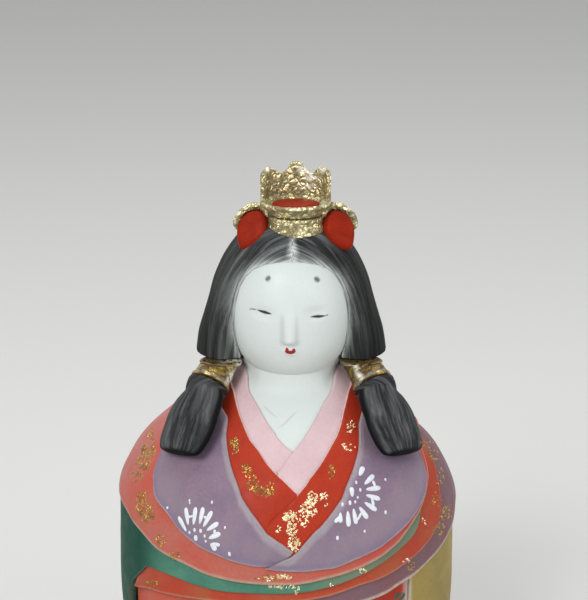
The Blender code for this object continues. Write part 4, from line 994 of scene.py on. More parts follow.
hairSizes = {
    "top": 133.05 * mm, "foot": 98.25 * mm, "halfWidth": 23.4 * mm, "front": 14.0 * mm,
    "back": 17.5 * mm, "fullness": 2.5,
    "rings": ((0.00, 1.000, 0.830, 1.000), (0.12, 0.975, 0.845, 1.000), (0.24, 0.925, 0.865, 1.000),
              (0.38, 0.865, 0.895, 0.985), (0.51, 0.815, 0.935, 0.960), (0.63, 0.745, 0.975, 0.915),
              (0.74, 0.655, 0.985, 0.830), (0.84, 0.545, 0.935, 0.700), (0.92, 0.415, 0.830, 0.520),
              (0.975, 0.250, 0.650, 0.270)),
    "hairline": ((0.0, 1.0), (0.24, 0.992), (0.46, 0.965), (0.66, 0.91), (0.80, 0.83), (0.90, 0.73),
                 (0.96, 0.60), (0.995, 0.48), (1.0, 0.38), (0.99, 0.27), (0.965, 0.16),
                 (0.90, 0.02)),
    "hairlineTop": 124.05 * mm, "hairlineHalf": 13.7 * mm,
    "slope": 7.0 * mm, "sink": 13.0 * mm, "sinkShare": 0.96,
    "grooves": ((0.12 * mm, 9.0, 1.2, 3.0), (0.096 * mm, 30.0, 1.6, 7.0)),
}
browTall = hairSizes["hairlineTop"] - hairSizes["foot"]
browLine = [Vector((hairSizes["hairlineHalf"] * x, hairSizes["foot"] + browTall * z))
            for x, z in hairSizes["hairline"]]


def hairPlace(share, turn, grow=0.0):
    s = hairSizes
    width, front, back = (smooth(share, tuple((ring[0], ring[k]) for ring in s["rings"]))
                          for k in (1, 2, 3))
    width, front, back = (s["halfWidth"] * width + grow, s["front"] * front + grow,
                          s["back"] * back + grow)
    side, ahead = math.sin(turn), math.cos(turn)
    power = 2 / s["fullness"]
    x = width * math.copysign(abs(side) ** power, side)
    y = (back - front) / 2 - (front + back) / 2 * math.copysign(abs(ahead) ** power, ahead)
    return Vector((x, y, s["foot"] + (s["top"] - s["foot"]) * share)) + form["place"]


def grooved(table, across, along):
    # shallow combed grooves, each with depth, count across, count along and a seed
    return sum(depth * noise.noise(Vector((across * wide, along * tall, seed)))
               for depth, wide, tall, seed in table)


def hairlineAway(x, z):
    # distance from the drawn hairline, seen from the front
    point = Vector((abs(x), z))
    best = 1.0
    for one, two in zip(browLine, browLine[1:]):
        run = two - one
        share = clamp((point - one).dot(run) / run.length_squared)
        best = min(best, (point - one - run * share).length)
    return best


def browSurface(x, z):
    # front of the plain head at a place, its middle plane outside it
    s = headSizes
    up = (z - s["middle"].z) / (s["rise"] if z > s["middle"].z else s["chin"])
    waist = chinWaist(-up) if up < 0 else 1.0
    left = waist ** 2 - ((x - s["middle"].x) / s["halfWidth"]) ** 2 - max(up, 0) ** 2
    return s["middle"].y - s["front"] * math.sqrt(max(left, 0))


def hairBody(columns, rows, grow=0.0):
    s = hairSizes
    rings = []
    top = s["rings"][-1][0]
    for r in range(rows + 1):
        share = top * math.sin(r / rows * math.pi / 2)
        ring = []
        for c in range(columns):
            turn = 2 * math.pi * c / columns
            point = hairPlace(share, turn, grow)
            away = Vector((math.sin(turn), -math.cos(turn), 0.3 + share)).normalized()
            groove = grooved(s["grooves"], turn, share) * min(1, 4 * (1 - share))
            ring.append(point + away * groove)
        rings.append(ring)
    edge = rings[-1]
    middle = sum(edge, Vector()) / columns
    for inward in (0.75, 0.5, 0.25):
        rise = (s["top"] - middle.z) * (1 - inward * inward)
        rings.append([middle.lerp(point, inward) + Vector((0, 0, rise)) for point in edge])
    return ringed(rings)


hair = finished(hairBody(240, 90), "hairCap", "hair", ("hair_cap",), sharp=60)
cutBy(hair, tool(headForm(0.08 * mm, 96, 72, False), "headTool"), "DIFFERENCE")


def hairlineTool():
    side = [*browLine, Vector((browLine[-1].x, hairSizes["foot"] - 3 * mm))]
    outline = side + [Vector((-x, z)) for x, z in reversed(side[1:])]
    back = headSizes["middle"].y
    return ringed([[Vector((x + form["place"].x, y, z)) for x, z in outline]
                   for y in (back - 2 * headSizes["front"], back)])


cutBy(hair, tool(hairlineTool(), "hairlineTool"), "DIFFERENCE")


def slopeHairline(piece):
    # the hair thins down to the brow and the cheeks at its edge
    s = hairSizes
    for vert in piece.data.vertices:
        point = vert.co
        if point.y > 0:
            continue
        local = point - form["place"]
        near = 1 - hairlineAway(local.x, local.z) / s["slope"]
        depth = browSurface(point.x, point.z) - point.y
        if near > 0 and depth > 0:
            point.y += s["sinkShare"] * depth * s["sink"] / (depth + s["sink"]) * eased(near)


slopeHairline(hair)


def newMarks(piece, **kinds):
    # all are made before one is fetched, as making one moves the others
    for name, kind in kinds.items():
        piece.data.attributes.new(name, kind, "POINT")
    return [piece.data.attributes[name] for name in kinds]


strandSizes = {
    "hub": 104.0 * mm, "reach": 20.0 * mm, "narrowing": 6.6 * mm, "wide": 9.6 * mm,
    "front": -11.0 * mm, "deep": 13.0 * mm, "back": 3.0 * mm, "count": 13.0, "backCount": 16.0,
    "along": 1.6, "down": 60.0,
    "lineBack": -2.0 * mm, "fade": 0.76, "fadeReach": 0.8 * mm, "cheekReach": 0.25 * mm,
    "fadePower": 1.2, "haze": 0.13, "hazeReach": 2.8 * mm, "cheek": 101.0 * mm,
    "cheekRise": 10.0 * mm,
    "brow": 117.0 * mm, "browRise": 5.0 * mm, "browShare": 1.4,
    "parting": 0.4 * mm, "partingFoot": 118.0 * mm, "partingTop": 130.0 * mm,
    "partingFade": 6.0 * mm,
    "partingHalf": 0.5 * mm, "partingSpread": 1.3 * mm,
    # painted shade on the hair: where it starts and how far it takes to deepen on each side, and
    # how much lies over the back
    "shadeLeft": (0.60, 0.42), "shadeRight": (0.80, 0.65), "shadeBack": 0.6,
}


def markStrands(piece):
    # combed from the parting outward and down: place across the strands, place along them
    s = strandSizes
    strand, pale, dark = newMarks(piece, strand="FLOAT_VECTOR", pale="FLOAT", dark="FLOAT")
    for index, vert in enumerate(piece.data.vertices):
        x, y, z = vert.co - form["place"]
        turn = math.atan2(x, -y)
        up = z - s["hub"]
        bend = math.atan2(abs(x), max(up, 0.1 * mm)) if up > 0 else math.pi / 2
        across = math.hypot(x, max(up, 0)) - s["reach"] + s["narrowing"] * math.sin(bend)
        across = across / s["wide"] + (y - s["front"]) / s["deep"]
        if y < s["back"]:
            down = bend * s["along"] - min(up, 0) * s["down"]
            strand.data[index].vector = (across * s["count"], down, 2.0 if x > 0 else 0.0)
        else:
            around = abs(turn) * s["backCount"]
            strand.data[index].vector = (around, z * s["down"], 6.0 if x > 0 else 4.0)
        away = hairlineAway(x, z) if y < s["lineBack"] else 1.0
        low = clamp((z - s["cheek"]) / s["cheekRise"])
        low -= s["browShare"] * clamp((z - s["brow"]) / s["browRise"])
        reach = s["fadeReach"] + s["cheekReach"] * low
        edge = s["fade"] * math.exp(-(away / reach) ** s["fadePower"])
        edge += s["haze"] * math.exp(-away / s["hazeReach"])
        spread = clamp((s["partingTop"] - z) / s["partingFade"]) ** 1.5
        wide = s["partingHalf"] + s["partingSpread"] * spread
        parted = z > s["partingFoot"] and y < 0
        parting = math.exp(-((x - s["parting"]) / wide) ** 2) if parted else 0.0
        pale.data[index].value = clamp(max(edge, parting))
        # painted shade deepening towards the sides of the hair, and a share of it over the back
        first, reach = s["shadeLeft"] if x > 0 else s["shadeRight"]
        paintedSideShade = clamp((abs(turn) - first) / reach)
        dark.data[index].value = paintedSideShade if y < s["back"] else s["shadeBack"]


markStrands(hair)
print("hair made")


tressSizes = {
    "thick": 3.0 * mm, "foot": 10.0 * mm, "start": 0.995, "napeAngle": 76, "columns": 64,
    "rows": 70,
    "spread": ((0, 64), (0.10, 50), (0.2, 40), (0.35, 32), (0.65, 25), (1, 21)),
    "inset": ((0, 0), (0.15, 0), (0.38, 1), (1, 1)), "roundEdge": 0.9 * mm,
    "grooves": ((0.22 * mm, 16, 1.5, 5.0), (0.10 * mm, 46, 2.5, 9.0)),
}


def makeTress():
    s = tressSizes
    columns = s["columns"]
    high = layerTop("jacket") + form["clear"] + s["thick"]
    low = layerTop("ochre") + form["clear"] + s["thick"]
    start = form["height"] * s["start"]

    def place(way, column, depth):
        side = 2 * column / columns - 1
        if way < 0:
            point = hairPlace(0, math.radians(180 + s["napeAngle"] * side), -depth)
            point.z = hairSizes["foot"] - form["clear"]
            return point
        turn = 180 + smooth(way, s["spread"]) * side
        reach = high + (low - high) * smooth(way, s["inset"])
        lift = grooved(s["grooves"], side, way) * (1 - abs(side) ** 6)
        return formPoint(turn, start + (s["foot"] - start) * way, reach - depth + lift)

    def ring(way):
        outer = [place(way, c, s["roundEdge"] * abs(2 * c / columns - 1) ** 8)
                 for c in range(columns + 1)]
        return outer + [place(way, c, s["thick"]) for c in range(columns, -1, -1)]

    rings = [ring(-1)] + [ring(k / s["rows"]) for k in range(s["rows"] + 1)]
    tress = finished(ringed(rings), "backTress", "lockHair", ("back_tress",), sharp=60)
    strand, = newMarks(tress, strand="FLOAT_VECTOR")
    for index, vert in enumerate(tress.data.vertices):
        column = index % (2 * columns + 2)
        side = column if column <= columns else 2 * columns + 1 - column
        strand.data[index].vector = (side * 1.2, vert.co.z * 60.0, 5.0)


makeTress()

lockSizes = {
    "halfWidth": 6.4 * mm, "halfThick": 2.5 * mm, "bandHalfWidth": 5.1 * mm,
    "bandHalfDepth": 4.2 * mm, "bandLength": 8.0 * mm, "corner": (0.718, 0.470), "forward": 0.25,
    "lean": 0.75, "rings": 60, "round": 72, "crinkle": 0.10 * mm, "groove": 0.13 * mm,
    "closing": 0.35, "closingRings": 5,
    "path": ((50.8, 0.930, 1.6), (48.8, 0.908, 1.45), (47.0, 0.884, 1.3), (45.4, 0.856, 1.15),
             (44.5, 0.837, 1.05)),
    "sizes": ((0.80, 1.40), (0.92, 1.34), (1.10, 1.26), (1.20, 1.20), (1.20, 1.10), (1.12, 0.98),
              (0.92, 0.68)),
    "bandRings": ((0, 0.90), (0.02, 0.97), (0.05, 1.0), (0.12, 1.0), (0.16, 0.98), (0.19, 0.92),
                  (0.23, 0.90), (0.5, 0.885), (0.77, 0.885), (0.81, 0.90), (0.84, 0.95),
                  (0.88, 0.97), (0.95, 0.97), (0.98, 0.94), (1, 0.87)),
}


def ovalRing(centre, across, through, halfWidth, halfDepth, count=72):
    return [centre + across * (halfWidth * math.cos(turn)) + through * (halfDepth * math.sin(turn))
            for turn in turnsOf(count)]


def crinkled(ring, middle, depth, scale):
    return [p + (p - middle).normalized() * depth * noise.noise(p * scale) for p in ring]


def curveAt(points, t):
    # smooth curve through the points, t from 0 to the count of spans
    index = min(int(t), len(points) - 2)
    u = t - index
    p0 = points[max(index - 1, 0)]
    p1, p2 = points[index], points[index + 1]
    p3 = points[min(index + 2, len(points) - 1)]
    return [0.5 * (2 * b + (c - a) * u + (2 * a - 5 * b + 4 * c - d) * u * u
                   + (3 * b - a - 3 * c + d) * u ** 3) for a, b, c, d in zip(p0, p1, p2, p3)]


def curveWay(points, t):
    # direction of that curve
    sooner, later = (Vector(curveAt(points, min(max(t + step, 0), len(points) - 1)))
                     for step in (-0.05, 0.05))
    return (later - sooner).normalized()


def makeLock(side, tag):
    s = lockSizes
    corner = Vector((side * hairSizes["halfWidth"] * s["corner"][0],
                     -hairSizes["front"] * s["corner"][1], hairSizes["foot"] - form["clear"]))
    top = corner + form["place"]
    over = [formPoint(side * angle, form["height"] * share,
                      layerTop("jacket") + form["clear"] + s["halfThick"] * rise)
            for angle, share, rise in s["path"]]
    end = top.lerp(over[0], s["bandLength"] / (over[0] - top).length)
    axis = (end - top).normalized()
    sideways = Vector((side, -s["forward"], 0))
    across = (sideways - axis * sideways.dot(axis)).normalized()
    through = axis.cross(across).normalized()
    through *= math.copysign(1, through.y)
    rings = []
    for share, swell in s["bandRings"]:
        turn = min(share / 0.8, 1)      # from the hair's own ways to the band's
        wide = Vector((side, 0, 0)).lerp(across, turn).normalized()
        deep = Vector((0, 1, 0)).lerp(through, turn).normalized()
        middle = top.lerp(end, share)
        ring = ovalRing(middle, wide, deep, s["bandHalfWidth"] * swell, s["bandHalfDepth"] * swell)
        rings.append(crinkled(ring, middle, s["crinkle"], 900))
    finished(ringed(rings), "hairBand" + tag.capitalize(), "bandGold", ("hair_band_" + tag,))

    start = end + axis * form["clear"]
    path = [start, start.lerp(over[0], 0.5)] + over
    count = s["rings"]
    rings = []
    for k in range(count + 1):
        t = (len(path) - 1) * k / count
        point, along = Vector(curveAt(path, t)), curveWay(path, t)
        local = point - form["place"]
        turn = math.atan2(local.x, -local.y / form["depthShare"])
        wideWay = along.cross(Vector((math.sin(turn), -math.cos(turn), s["lean"]))).normalized()
        if wideWay.dot(across) < 0:
            wideWay.negate()
        wideWay = wideWay.lerp(across, max(0, 1 - t)).normalized()
        last = max(0, (k - count + s["closingRings"]) / s["closingRings"])
        wide, deep = (size * (1 - s["closing"] * last ** 3) for size in curveAt(s["sizes"], t))
        ring = ovalRing(point, wideWay, along.cross(wideWay).normalized(), s["halfWidth"] * wide,
                        s["halfThick"] * deep)
        rings.append([p + (p - point).normalized() * s["groove"]
                      * noise.noise(Vector((9 * math.cos(spot), k * 0.03, side * 4.0)))
                      for p, spot in zip(ring, turnsOf(s["round"]))])
    lock = finished(ringed(rings), "hairLock" + tag.capitalize(), "lockHair", ("hair_lock_" + tag,),
                    sharp=60)
    strand, tip = newMarks(lock, strand="FLOAT_VECTOR", tip="FLOAT")
    for index in range(len(lock.data.vertices)):
        row, spot = divmod(index, s["round"])
        place = math.cos(2 * math.pi * spot / s["round"])
        strand.data[index].vector = (10.0 * place, row * 0.05, 8.0 + side)
        tip.data[index].value = clamp(max((abs(place) - 0.88) / 0.09, (row - count + 3.4) / 2.2))


for side, tag in ((-1, "right"), (1, "left")):
    makeLock(side, tag)
print("locks made")


# Crown

crownSizes = {
    "centre": Vector((1.1, -6.0, 0)) * mm + form["place"], "foot": 127.45 * mm,
    "halfWidth": 7.2 * mm,
    "depthShare": 0.86, "bandTop": 133.95 * mm, "dishRadius": 8.6 * mm, "lip": 137.35 * mm,
    "wall": 1.0 * mm, "floor": 136.55 * mm, "floorHalf": (5.7 * mm, 5.1 * mm),
    "floorThick": 0.6 * mm, "plateThick": 1.1 * mm, "sweep": math.radians(160),
    "wallSunk": 0.5 * mm, "columns": 150, "rows": 22, "round": 0.35 * mm,
    "top": 145.55 * mm, "notch": 142.85 * mm, "crinkle": 0.12 * mm,
    "bandLine": ((1.0, 0), (0.6, 0.15), (0.5, 0.5), (0.5, 1.4), (0.65, 1.8), (0.3, 2.2), (0, 3.0),
                 (0, 3.8), (0.15, 4.4), (0, 5.3), (0, 6.5)),
    "dishLine": ((1.5, 0.5), (1.3, 0.2), (1.0, 0.04), (0.5, 0), (0.15, 0.15), (0, 0.5),
                 (0.15, 0.85),
                 (0.5, 1.1), (1.0, 1.7), (1.9, 2.6), (2.05, 2.95), (2.4, 3.1)),
    "floorLine": ((2.28, 0.02), (0.2, 0), (0, 0.2), (0, 0.6)),
    "points": ((0.0, 0.30), (0.09, 0.52), (0.17, 0.72), (0.25, 0.40), (0.33, 0.03), (0.41, 0.30),
               (0.46, 0.95), (0.51, 1.0), (0.56, 0.95), (0.61, 0.30), (0.68, 0.03), (0.76, 0.45),
               (0.83, 0.76), (0.91, 0.60), (1.0, 0.30)),
}


def turnedPiece(name, line, depthShare, finish, node, crinkle=0.0):
    centre = crownSizes["centre"]
    count = 120
    bm = bmesh.new()
    rows = []
    for radius, height in line:
        ring = [Vector((centre.x, centre.y, height))]
        if radius > 0:
            ring = roundRing(centre, radius, radius * depthShare, height, count)
            ring = crinkled(ring, centre, crinkle, 1100)
        rows.append([bm.verts.new(point) for point in ring])
    for one, two in zip(rows, rows[1:]):
        for k in range(count):
            n = (k + 1) % count
            ends = [one[k % len(one)], one[n % len(one)], two[n % len(two)], two[k % len(two)]]
            bm.faces.new([v for i, v in enumerate(ends) if v not in ends[:i]])
    return finished(bm, name, finish, (node,))


def outlined(radius, top, line, start, foot):
    # a line to turn, given as millimetres in from the radius and down from the top
    return [(0, start), *((radius - inset * mm, top - drop * mm) for inset, drop in line),
            (0, foot)]


def makeCrown():
    s = crownSizes
    high, deep = s["bandTop"], s["depthShare"]
    band = outlined(s["halfWidth"], high, s["bandLine"], high, s["foot"])
    base = turnedPiece("crownBase", band, deep, "gold", "crown_base", s["crinkle"])
    cutBy(base, tool(hairBody(96, 40, 0.2 * mm), "hairTool"), "DIFFERENCE")
    bottom = s["floor"] - s["floorThick"]
    dish = outlined(s["dishRadius"], s["lip"], s["dishLine"], bottom, high + form["clear"])
    dish.insert(1, (s["floorHalf"][0] + form["clear"], bottom))
    turnedPiece("crownDish", dish, deep, "gold", "crown_dish", s["crinkle"])
    wide, narrow = s["floorHalf"]
    low = bottom + form["clear"]
    top = low + s["floorThick"]
    plate = outlined(wide, top, s["floorLine"], top - 0.05 * mm, low)
    turnedPiece("crownFloor", plate, narrow / wide, "ribbonRed", "crown_floor")

    radius = s["dishRadius"] - s["wall"] / 2
    floor = s["lip"] - s["wallSunk"]
    grid, normals = [], []
    for c in range(s["columns"] + 1):
        way = c / s["columns"]
        turn = math.pi / 2 + s["sweep"] * (0.5 - way)
        crest = s["notch"] + (s["top"] - s["notch"]) * smooth(way, s["points"])
        out = Vector((math.cos(turn), deep * math.sin(turn), 0))
        shares = rowShares(crest - floor, s["rows"], s["round"])
        grid.append([s["centre"] + out * radius + Vector((0, 0, crest + (floor - crest) * share))
                     for share in shares])
        normals.append([out.normalized()] * len(shares))
    setting = {"thick": s["plateThick"], "round": s["round"], "bumps": 0.22 * mm, "bumpScale": 620}
    slab("crownWall", grid, normals, setting, "gold", ("crown_wall",))


makeCrown()

lobeSizes = {
    "width": 6.3 * mm, "height": 9.2 * mm, "thick": 4.2 * mm, "spread": 10.4 * mm,
    "forward": 6.6 * mm, "drop": 2.6 * mm, "splay": math.radians(24), "lean": math.radians(28),
    "outline": ((-0.46, 0.40), (-0.20, 0.51), (0.14, 0.46), (0.44, 0.26), (0.55, -0.04),
                (0.47, -0.32),
                (0.29, -0.55), (-0.05, -0.50), (-0.40, -0.35), (-0.64, -0.12), (-0.62, 0.16)),
    "rim": ((-0.66, 0.36), (-0.42, 0.56), (-0.15, 0.63), (0.17, 0.58), (0.46, 0.42), (0.61, 0.20),
            (0.60, -0.03)),
    "rimRadius": 1.0 * mm, "rimHalfDepth": 2.1 * mm, "round": 72, "steps": 14, "rimRings": 40,
    "edgeShare": 0.62, "rimEnd": 0.45, "rimEndRings": 3, "crinkle": 0.16,
}


def makeLobe(side, tag):
    s = lobeSizes
    centre = Vector((crownSizes["centre"].x + side * s["spread"], form["place"].y - s["forward"],
                     hairSizes["top"] - s["drop"]))
    placedBy = (Matrix.Translation(centre) @ Matrix.Rotation(side * s["splay"], 4, "Z")
                @ Matrix.Rotation(-s["lean"], 4, "X"))
    loop, path = ([Vector((side * x * s["width"], 0, z * s["height"])) for x, z in s[line]]
                  for line in ("outline", "rim"))
    wrapped = loop[-1:] + loop + loop[:2]
    edge = [curveAt(wrapped, 1 + len(loop) * k / s["round"]) for k in range(s["round"])]
    rings = []
    for k in range(s["steps"] + 1):
        a = math.pi * k / s["steps"]
        shrink = s["edgeShare"] + (1 - s["edgeShare"]) * math.sin(a) ** 0.6
        depth = -s["thick"] / 2 * math.cos(a)
        rings.append([placedBy @ Vector((x * shrink, depth, z * shrink)) for x, _, z in edge])
    finished(ringed(rings), "ribbonLobe" + tag.capitalize(), "ribbonRed", ("ribbon_lobe_" + tag,))

    through = Vector((0, 1, 0))
    count = s["rimRings"]
    rings = []
    for k in range(count + 1):
        t = (len(path) - 1) * k / count
        point = Vector(curveAt(path, t))
        across = through.cross(curveWay(path, t)).normalized()
        close = min(1, s["rimEnd"] + (1 - s["rimEnd"]) * min(k, count - k) / s["rimEndRings"])
        ring = ovalRing(point, across, through, s["rimRadius"] * close, s["rimHalfDepth"] * close,
                        24)
        rings.append([placedBy @ (p + (p - point) * s["crinkle"] * noise.noise(p * 1300))
                      for p in ring])
    finished(ringed(rings), "ribbonRim" + tag.capitalize(), "gold", ("ribbon_rim_" + tag,))


for side, tag in ((-1, "right"), (1, "left")):
    makeLobe(side, tag)
print("crown made")


# Camera at the photographed angle; the painted strokes are placed along its lines of sight

cameraSizes = {"rise": math.radians(16), "target": Vector((1.7, -9.8, 113.9)) * mm,
               "distance": 520 * mm, "focal": 2166.7, "frame": (588, 600), "sensor": 36.0}
sightAhead = Vector((0, math.cos(cameraSizes["rise"]), -math.sin(cameraSizes["rise"])))
sightUp = Vector((0, math.sin(cameraSizes["rise"]), math.cos(cameraSizes["rise"])))


def makeCamera():
    s = cameraSizes
    data = bpy.data.cameras.new("photoCamera")
    data.sensor_width = s["sensor"]
    data.sensor_fit = "AUTO"
    data.lens = s["sensor"] * s["focal"] / max(s["frame"])
    camera = inScene("photoCamera", data)
    camera.location = s["target"] - sightAhead * s["distance"]
    camera.rotation_euler = (math.pi / 2 - s["rise"], 0, 0)
    bpy.context.scene.camera = camera


makeCamera()


def sightLine(px, py):
    s = cameraSizes
    way = sightAhead + Vector((1, 0, 0)) * ((px - s["frame"][0] / 2) / s["focal"])
    way += sightUp * ((s["frame"][1] / 2 - py) / s["focal"])
    return s["target"] - sightAhead * s["distance"], way.normalized()


def surfaceOf(pieces):
    points, faces = [], []
    for piece in pieces:
        start = len(points)
        points += [vert.co.copy() for vert in piece.data.vertices]
        faces += [tuple(start + index for index in face.vertices) for face in piece.data.polygons]
    return BVHTree.FromPolygons(points, faces)


# Painted highlights on the gold, pale patches mixed into the leaf's colour: middle and reach across
# and down
glintSpots = ((303, 168, 8, 8), (311, 177, 11, 7), (322, 170, 5, 7), (308, 187, 14, 4),
              (314, 199, 9, 2.5),
              (322, 203, 6, 4), (295, 209.5, 7, 1.6), (298, 225, 6, 2), (299, 235, 5, 2.5),
              (268, 170, 3, 4),
              (240, 363, 7, 8), (232, 373, 5, 7), (228, 382, 4, 5), (356, 368, 4, 6),
              (360, 377, 5, 6),
              (361, 386, 4, 5), (238, 205, 4, 6), (350, 208, 5, 4))


def photoPlace(point):
    # where a point stands in the photograph's frame
    s = cameraSizes
    away = point - s["target"] + sightAhead * s["distance"]
    deep = away.dot(sightAhead)
    return (s["frame"][0] / 2 + s["focal"] * away.x / deep,
            s["frame"][1] / 2 - s["focal"] * away.dot(sightUp) / deep)


# painted highlight along the raised rims of the hair bands
rimPaintedGlint = 0.15


# marks where painted highlights lie on the gold, on faces turned towards the camera
def markPaintedGlints(piece):
    glint, = newMarks(piece, glint="FLOAT")
    for vert in piece.data.vertices:
        if vert.normal.y < 0.15:
            px, py = photoPlace(vert.co)
            glint.data[vert.index].value = max(fall(math.hypot((px - x) / wide, (py - y) / tall), 1)
                                               for x, y, wide, tall in glintSpots)
        if piece.name.startswith("hairBand"):
            share = lockSizes["bandRings"][vert.index // 72][0]
            if 0.02 <= share <= 0.16 or 0.81 <= share <= 0.97:
                glint.data[vert.index].value = max(glint.data[vert.index].value, rimPaintedGlint)


pieces = [piece for piece in bpy.context.scene.collection.objects
          if piece.type == "MESH" and piece.data.materials]
for piece in pieces:
    if piece.data.materials[0].name in ("goldLeaf", "bandGold"):
        markPaintedGlints(piece)

dressed = surfaceOf(pieces)
strokeSizes = {
    "pixel": 0.242 * mm, "rings": 0.9, "jump": 3 * mm, "taper": 0.28, "tipShare": 0.1,
    "across": (-1, -0.62, 0, 0.62, 1), "float": 0.015 * mm, "under": (0.8, -0.8), "sunk": 0.10 * mm,
}


def addStroke(bm, path, rise):
    # a low domed dab of paint on whatever it is seen on; path holds place and half width in pixels
    s = strokeSizes
    rim = bm.verts.layers.float["fromRim"]
    length = sum(math.dist(a[:2], b[:2]) for a, b in zip(path, path[1:]))
    count = max(3, round(2 + s["rings"] * length))
    middles = []
    for k in range(count + 1):
        px, py, half = curveAt(path, (len(path) - 1) * k / count)
        place, normal = dressed.ray_cast(*sightLine(px, py))[:2]
        if place is None or (middles and (place - middles[-1][0]).length > s["jump"]):
            return
        middles.append((place, normal, half * s["pixel"]))
    rings = []
    for k, (place, normal, half) in enumerate(middles):
        side = normal.cross(middles[min(k + 1, count)][0] - middles[max(k - 1, 0)][0])
        if side.length < 1e-9:
            return
        side.normalize()
        end = min(min(k, count - k) / max(count * s["taper"], 1), 1)
        full = math.sqrt(1 - (1 - end) ** 2) * (1 - s["tipShare"]) + s["tipShare"]

        def beside(across):
            return dressed.find_nearest(place + side * (across * half * full))[:2]

        ring = []
        for across in s["across"]:
            near, out = beside(across)
            vert = bm.verts.new(near + out * (rise * (1 - across * across) * full + s["float"]))
            vert[rim] = (1 - abs(across)) * end
            ring.append(vert)
        for across in s["under"]:
            near, out = beside(across)
            ring.append(bm.verts.new(near - out * s["sunk"]))
        rings.append(ring)
    for one, two in zip(rings, rings[1:]):
        for k in range(len(one)):
            n = (k + 1) % len(one)
            bm.faces.new((one[k], one[n], two[n], two[k]))
    bm.faces.new(rings[0])
    bm.faces.new(rings[-1][::-1])


def painted(name, paths, finish, rise):
    bm = bmesh.new()
    bm.verts.layers.float.new("fromRim")
    for path in paths:
        addStroke(bm, path, rise * mm)
    finished(bm, name, finish, (), sharp=80)


# White flowers: petals as tip, inner end and half width, then round dabs with their half width
flowerSizes = {
    "petals": ((178.3, 516.4, 186.4, 531.5, 2.2), (185.6, 507.5, 188.2, 525, 2.3),
               (195.7, 507.0, 193.4, 525, 2.3), (203.2, 507.0, 199.6, 524, 2.4),
               (212.0, 511.0, 203.2, 527, 2.4), (218.4, 522.8, 206.8, 530.5, 2.4),
               (220.4, 533.2, 208.6, 538.5, 2.6), (216.0, 550.5, 210.6, 543.4, 2.6),
               (220.0, 545.0, 210.6, 543.8, 2.0), (187.0, 517.5, 194.6, 515.5, 1.3),
               (203.5, 517.0, 208.0, 518.0, 1.4), (215.0, 529.5, 214.0, 534.0, 1.5),
               (363.4, 466.5, 359.4, 476.0, 2.6), (374.0, 475.0, 364.6, 484.4, 2.5),
               (380.6, 487.6, 366.0, 489.6, 2.5), (380.4, 499.2, 366.0, 495.0, 2.4),
               (376.8, 510.4, 364.6, 502.4, 2.5), (367.8, 518.6, 359.4, 507.0, 2.5),
               (356.4, 524.2, 353.4, 508.6, 2.3), (348.8, 526.8, 347.8, 511.0, 2.4),
               (340.6, 523.0, 340.4, 512.4, 2.1), (334.8, 522.6, 341.4, 515.0, 1.9),
               (373.0, 480.5, 375.6, 487.6, 1.6), (373.8, 506.0, 371.6, 496.8, 1.6),
               (361.6, 512.5, 357.0, 521.5, 1.3), (351.6, 487.0, 352.4, 497.0, 2.3)),
    "dabs": ((189.5, 532.6, 1.5), (194.5, 530.1, 1.9), (200.6, 530.9, 2.0), (204.6, 536.2, 1.6),
             (205.7, 541.3, 1.4), (195.7, 538.0, 2.7), (167.4, 507.7, 1.4), (189.5, 500.4, 1.3),
             (189.8, 503.0, 1.2), (211.9, 502.3, 1.6), (224.9, 527.6, 1.5), (229.4, 554.0, 2.1),
             (356.2, 482.4, 1.7), (360.3, 489.9, 1.8), (357.8, 497.4, 1.4), (355.3, 501.9, 1.5),
             (350.0, 502.8, 2.2), (342.5, 504.4, 1.9), (385.4, 479.5, 1.5), (385.6, 512.3, 1.9),
             (364.7, 531.4, 1.5), (337.5, 538.0, 2.1)),
}
petalLine = ((0, 0.9), (0.35, 1), (0.7, 0.78), (1, 0.45))      # way along, share of the half width
dabHalf = 0.7


def petal(outX, outY, inX, inY, half):
    return [(outX + (inX - outX) * way, outY + (inY - outY) * way, half * share)
            for way, share in petalLine]


def dab(x, y, half):
    return ((x - half * dabHalf, y, half), (x, y, half), (x + half * dabHalf, y, half))


painted("flowers", [petal(*p) for p in flowerSizes["petals"]]
        + [dab(*d) for d in flowerSizes["dabs"]], "petal", 0.16)

# Gold foil, a near-white copy as painted highlight and a darker copy: middle, reach across and
# down, count of flakes
foilSizes = {
    "bright": ((312, 498, 5.5, 6.5, 44), (308, 510, 9, 9, 74), (304, 522, 6, 6, 22),
               (290, 517, 8, 6, 58),
               (292, 529, 6, 7, 44), (294, 543, 6, 9, 62), (278, 529, 3, 4, 7),
               (324, 499, 4.5, 8, 22),
               (351, 427, 5, 7, 18), (348, 447, 7, 4, 18), (283, 577, 10, 2.4, 30),
               (266, 579, 8, 2.4, 12),
               (284, 587, 18, 1.6, 40), (297, 591, 3, 3, 6), (362, 571, 5, 2, 10),
               (332, 585, 3, 1, 4),
               (424, 520, 3, 4, 7), (407, 561, 4, 2, 5)),
    "darker": ((152, 436, 4, 8, 26), (148, 451, 7, 9, 64), (143, 463, 8, 7, 56), (137, 476, 6, 6, 26),
             (142, 498, 6, 7, 40), (144, 509, 9, 9, 78), (148, 519, 7, 4, 26), (160, 540, 5, 6, 20),
             (174, 555, 7, 4, 16), (152, 584, 8, 4, 20), (235, 446, 6, 9, 44), (247, 470, 5, 7, 30),
             (253, 483, 6, 8, 36), (260, 491, 7, 5, 26), (269, 489, 6, 8, 32), (331, 472, 4, 8, 20),
             (447, 514, 6, 9, 40), (440, 530, 7, 7, 26), (426, 442, 7, 7, 16), (434, 456, 5, 8, 20),
             (440, 478, 5, 10, 16), (413, 567, 5, 5, 16), (437, 500, 5, 9, 12),
             (268, 578, 14, 3, 22)),
}


flakeSizes = {"length": (0.5, 1.8), "half": (0.5, 1.15), "bend": 0.6, "ends": 0.7}


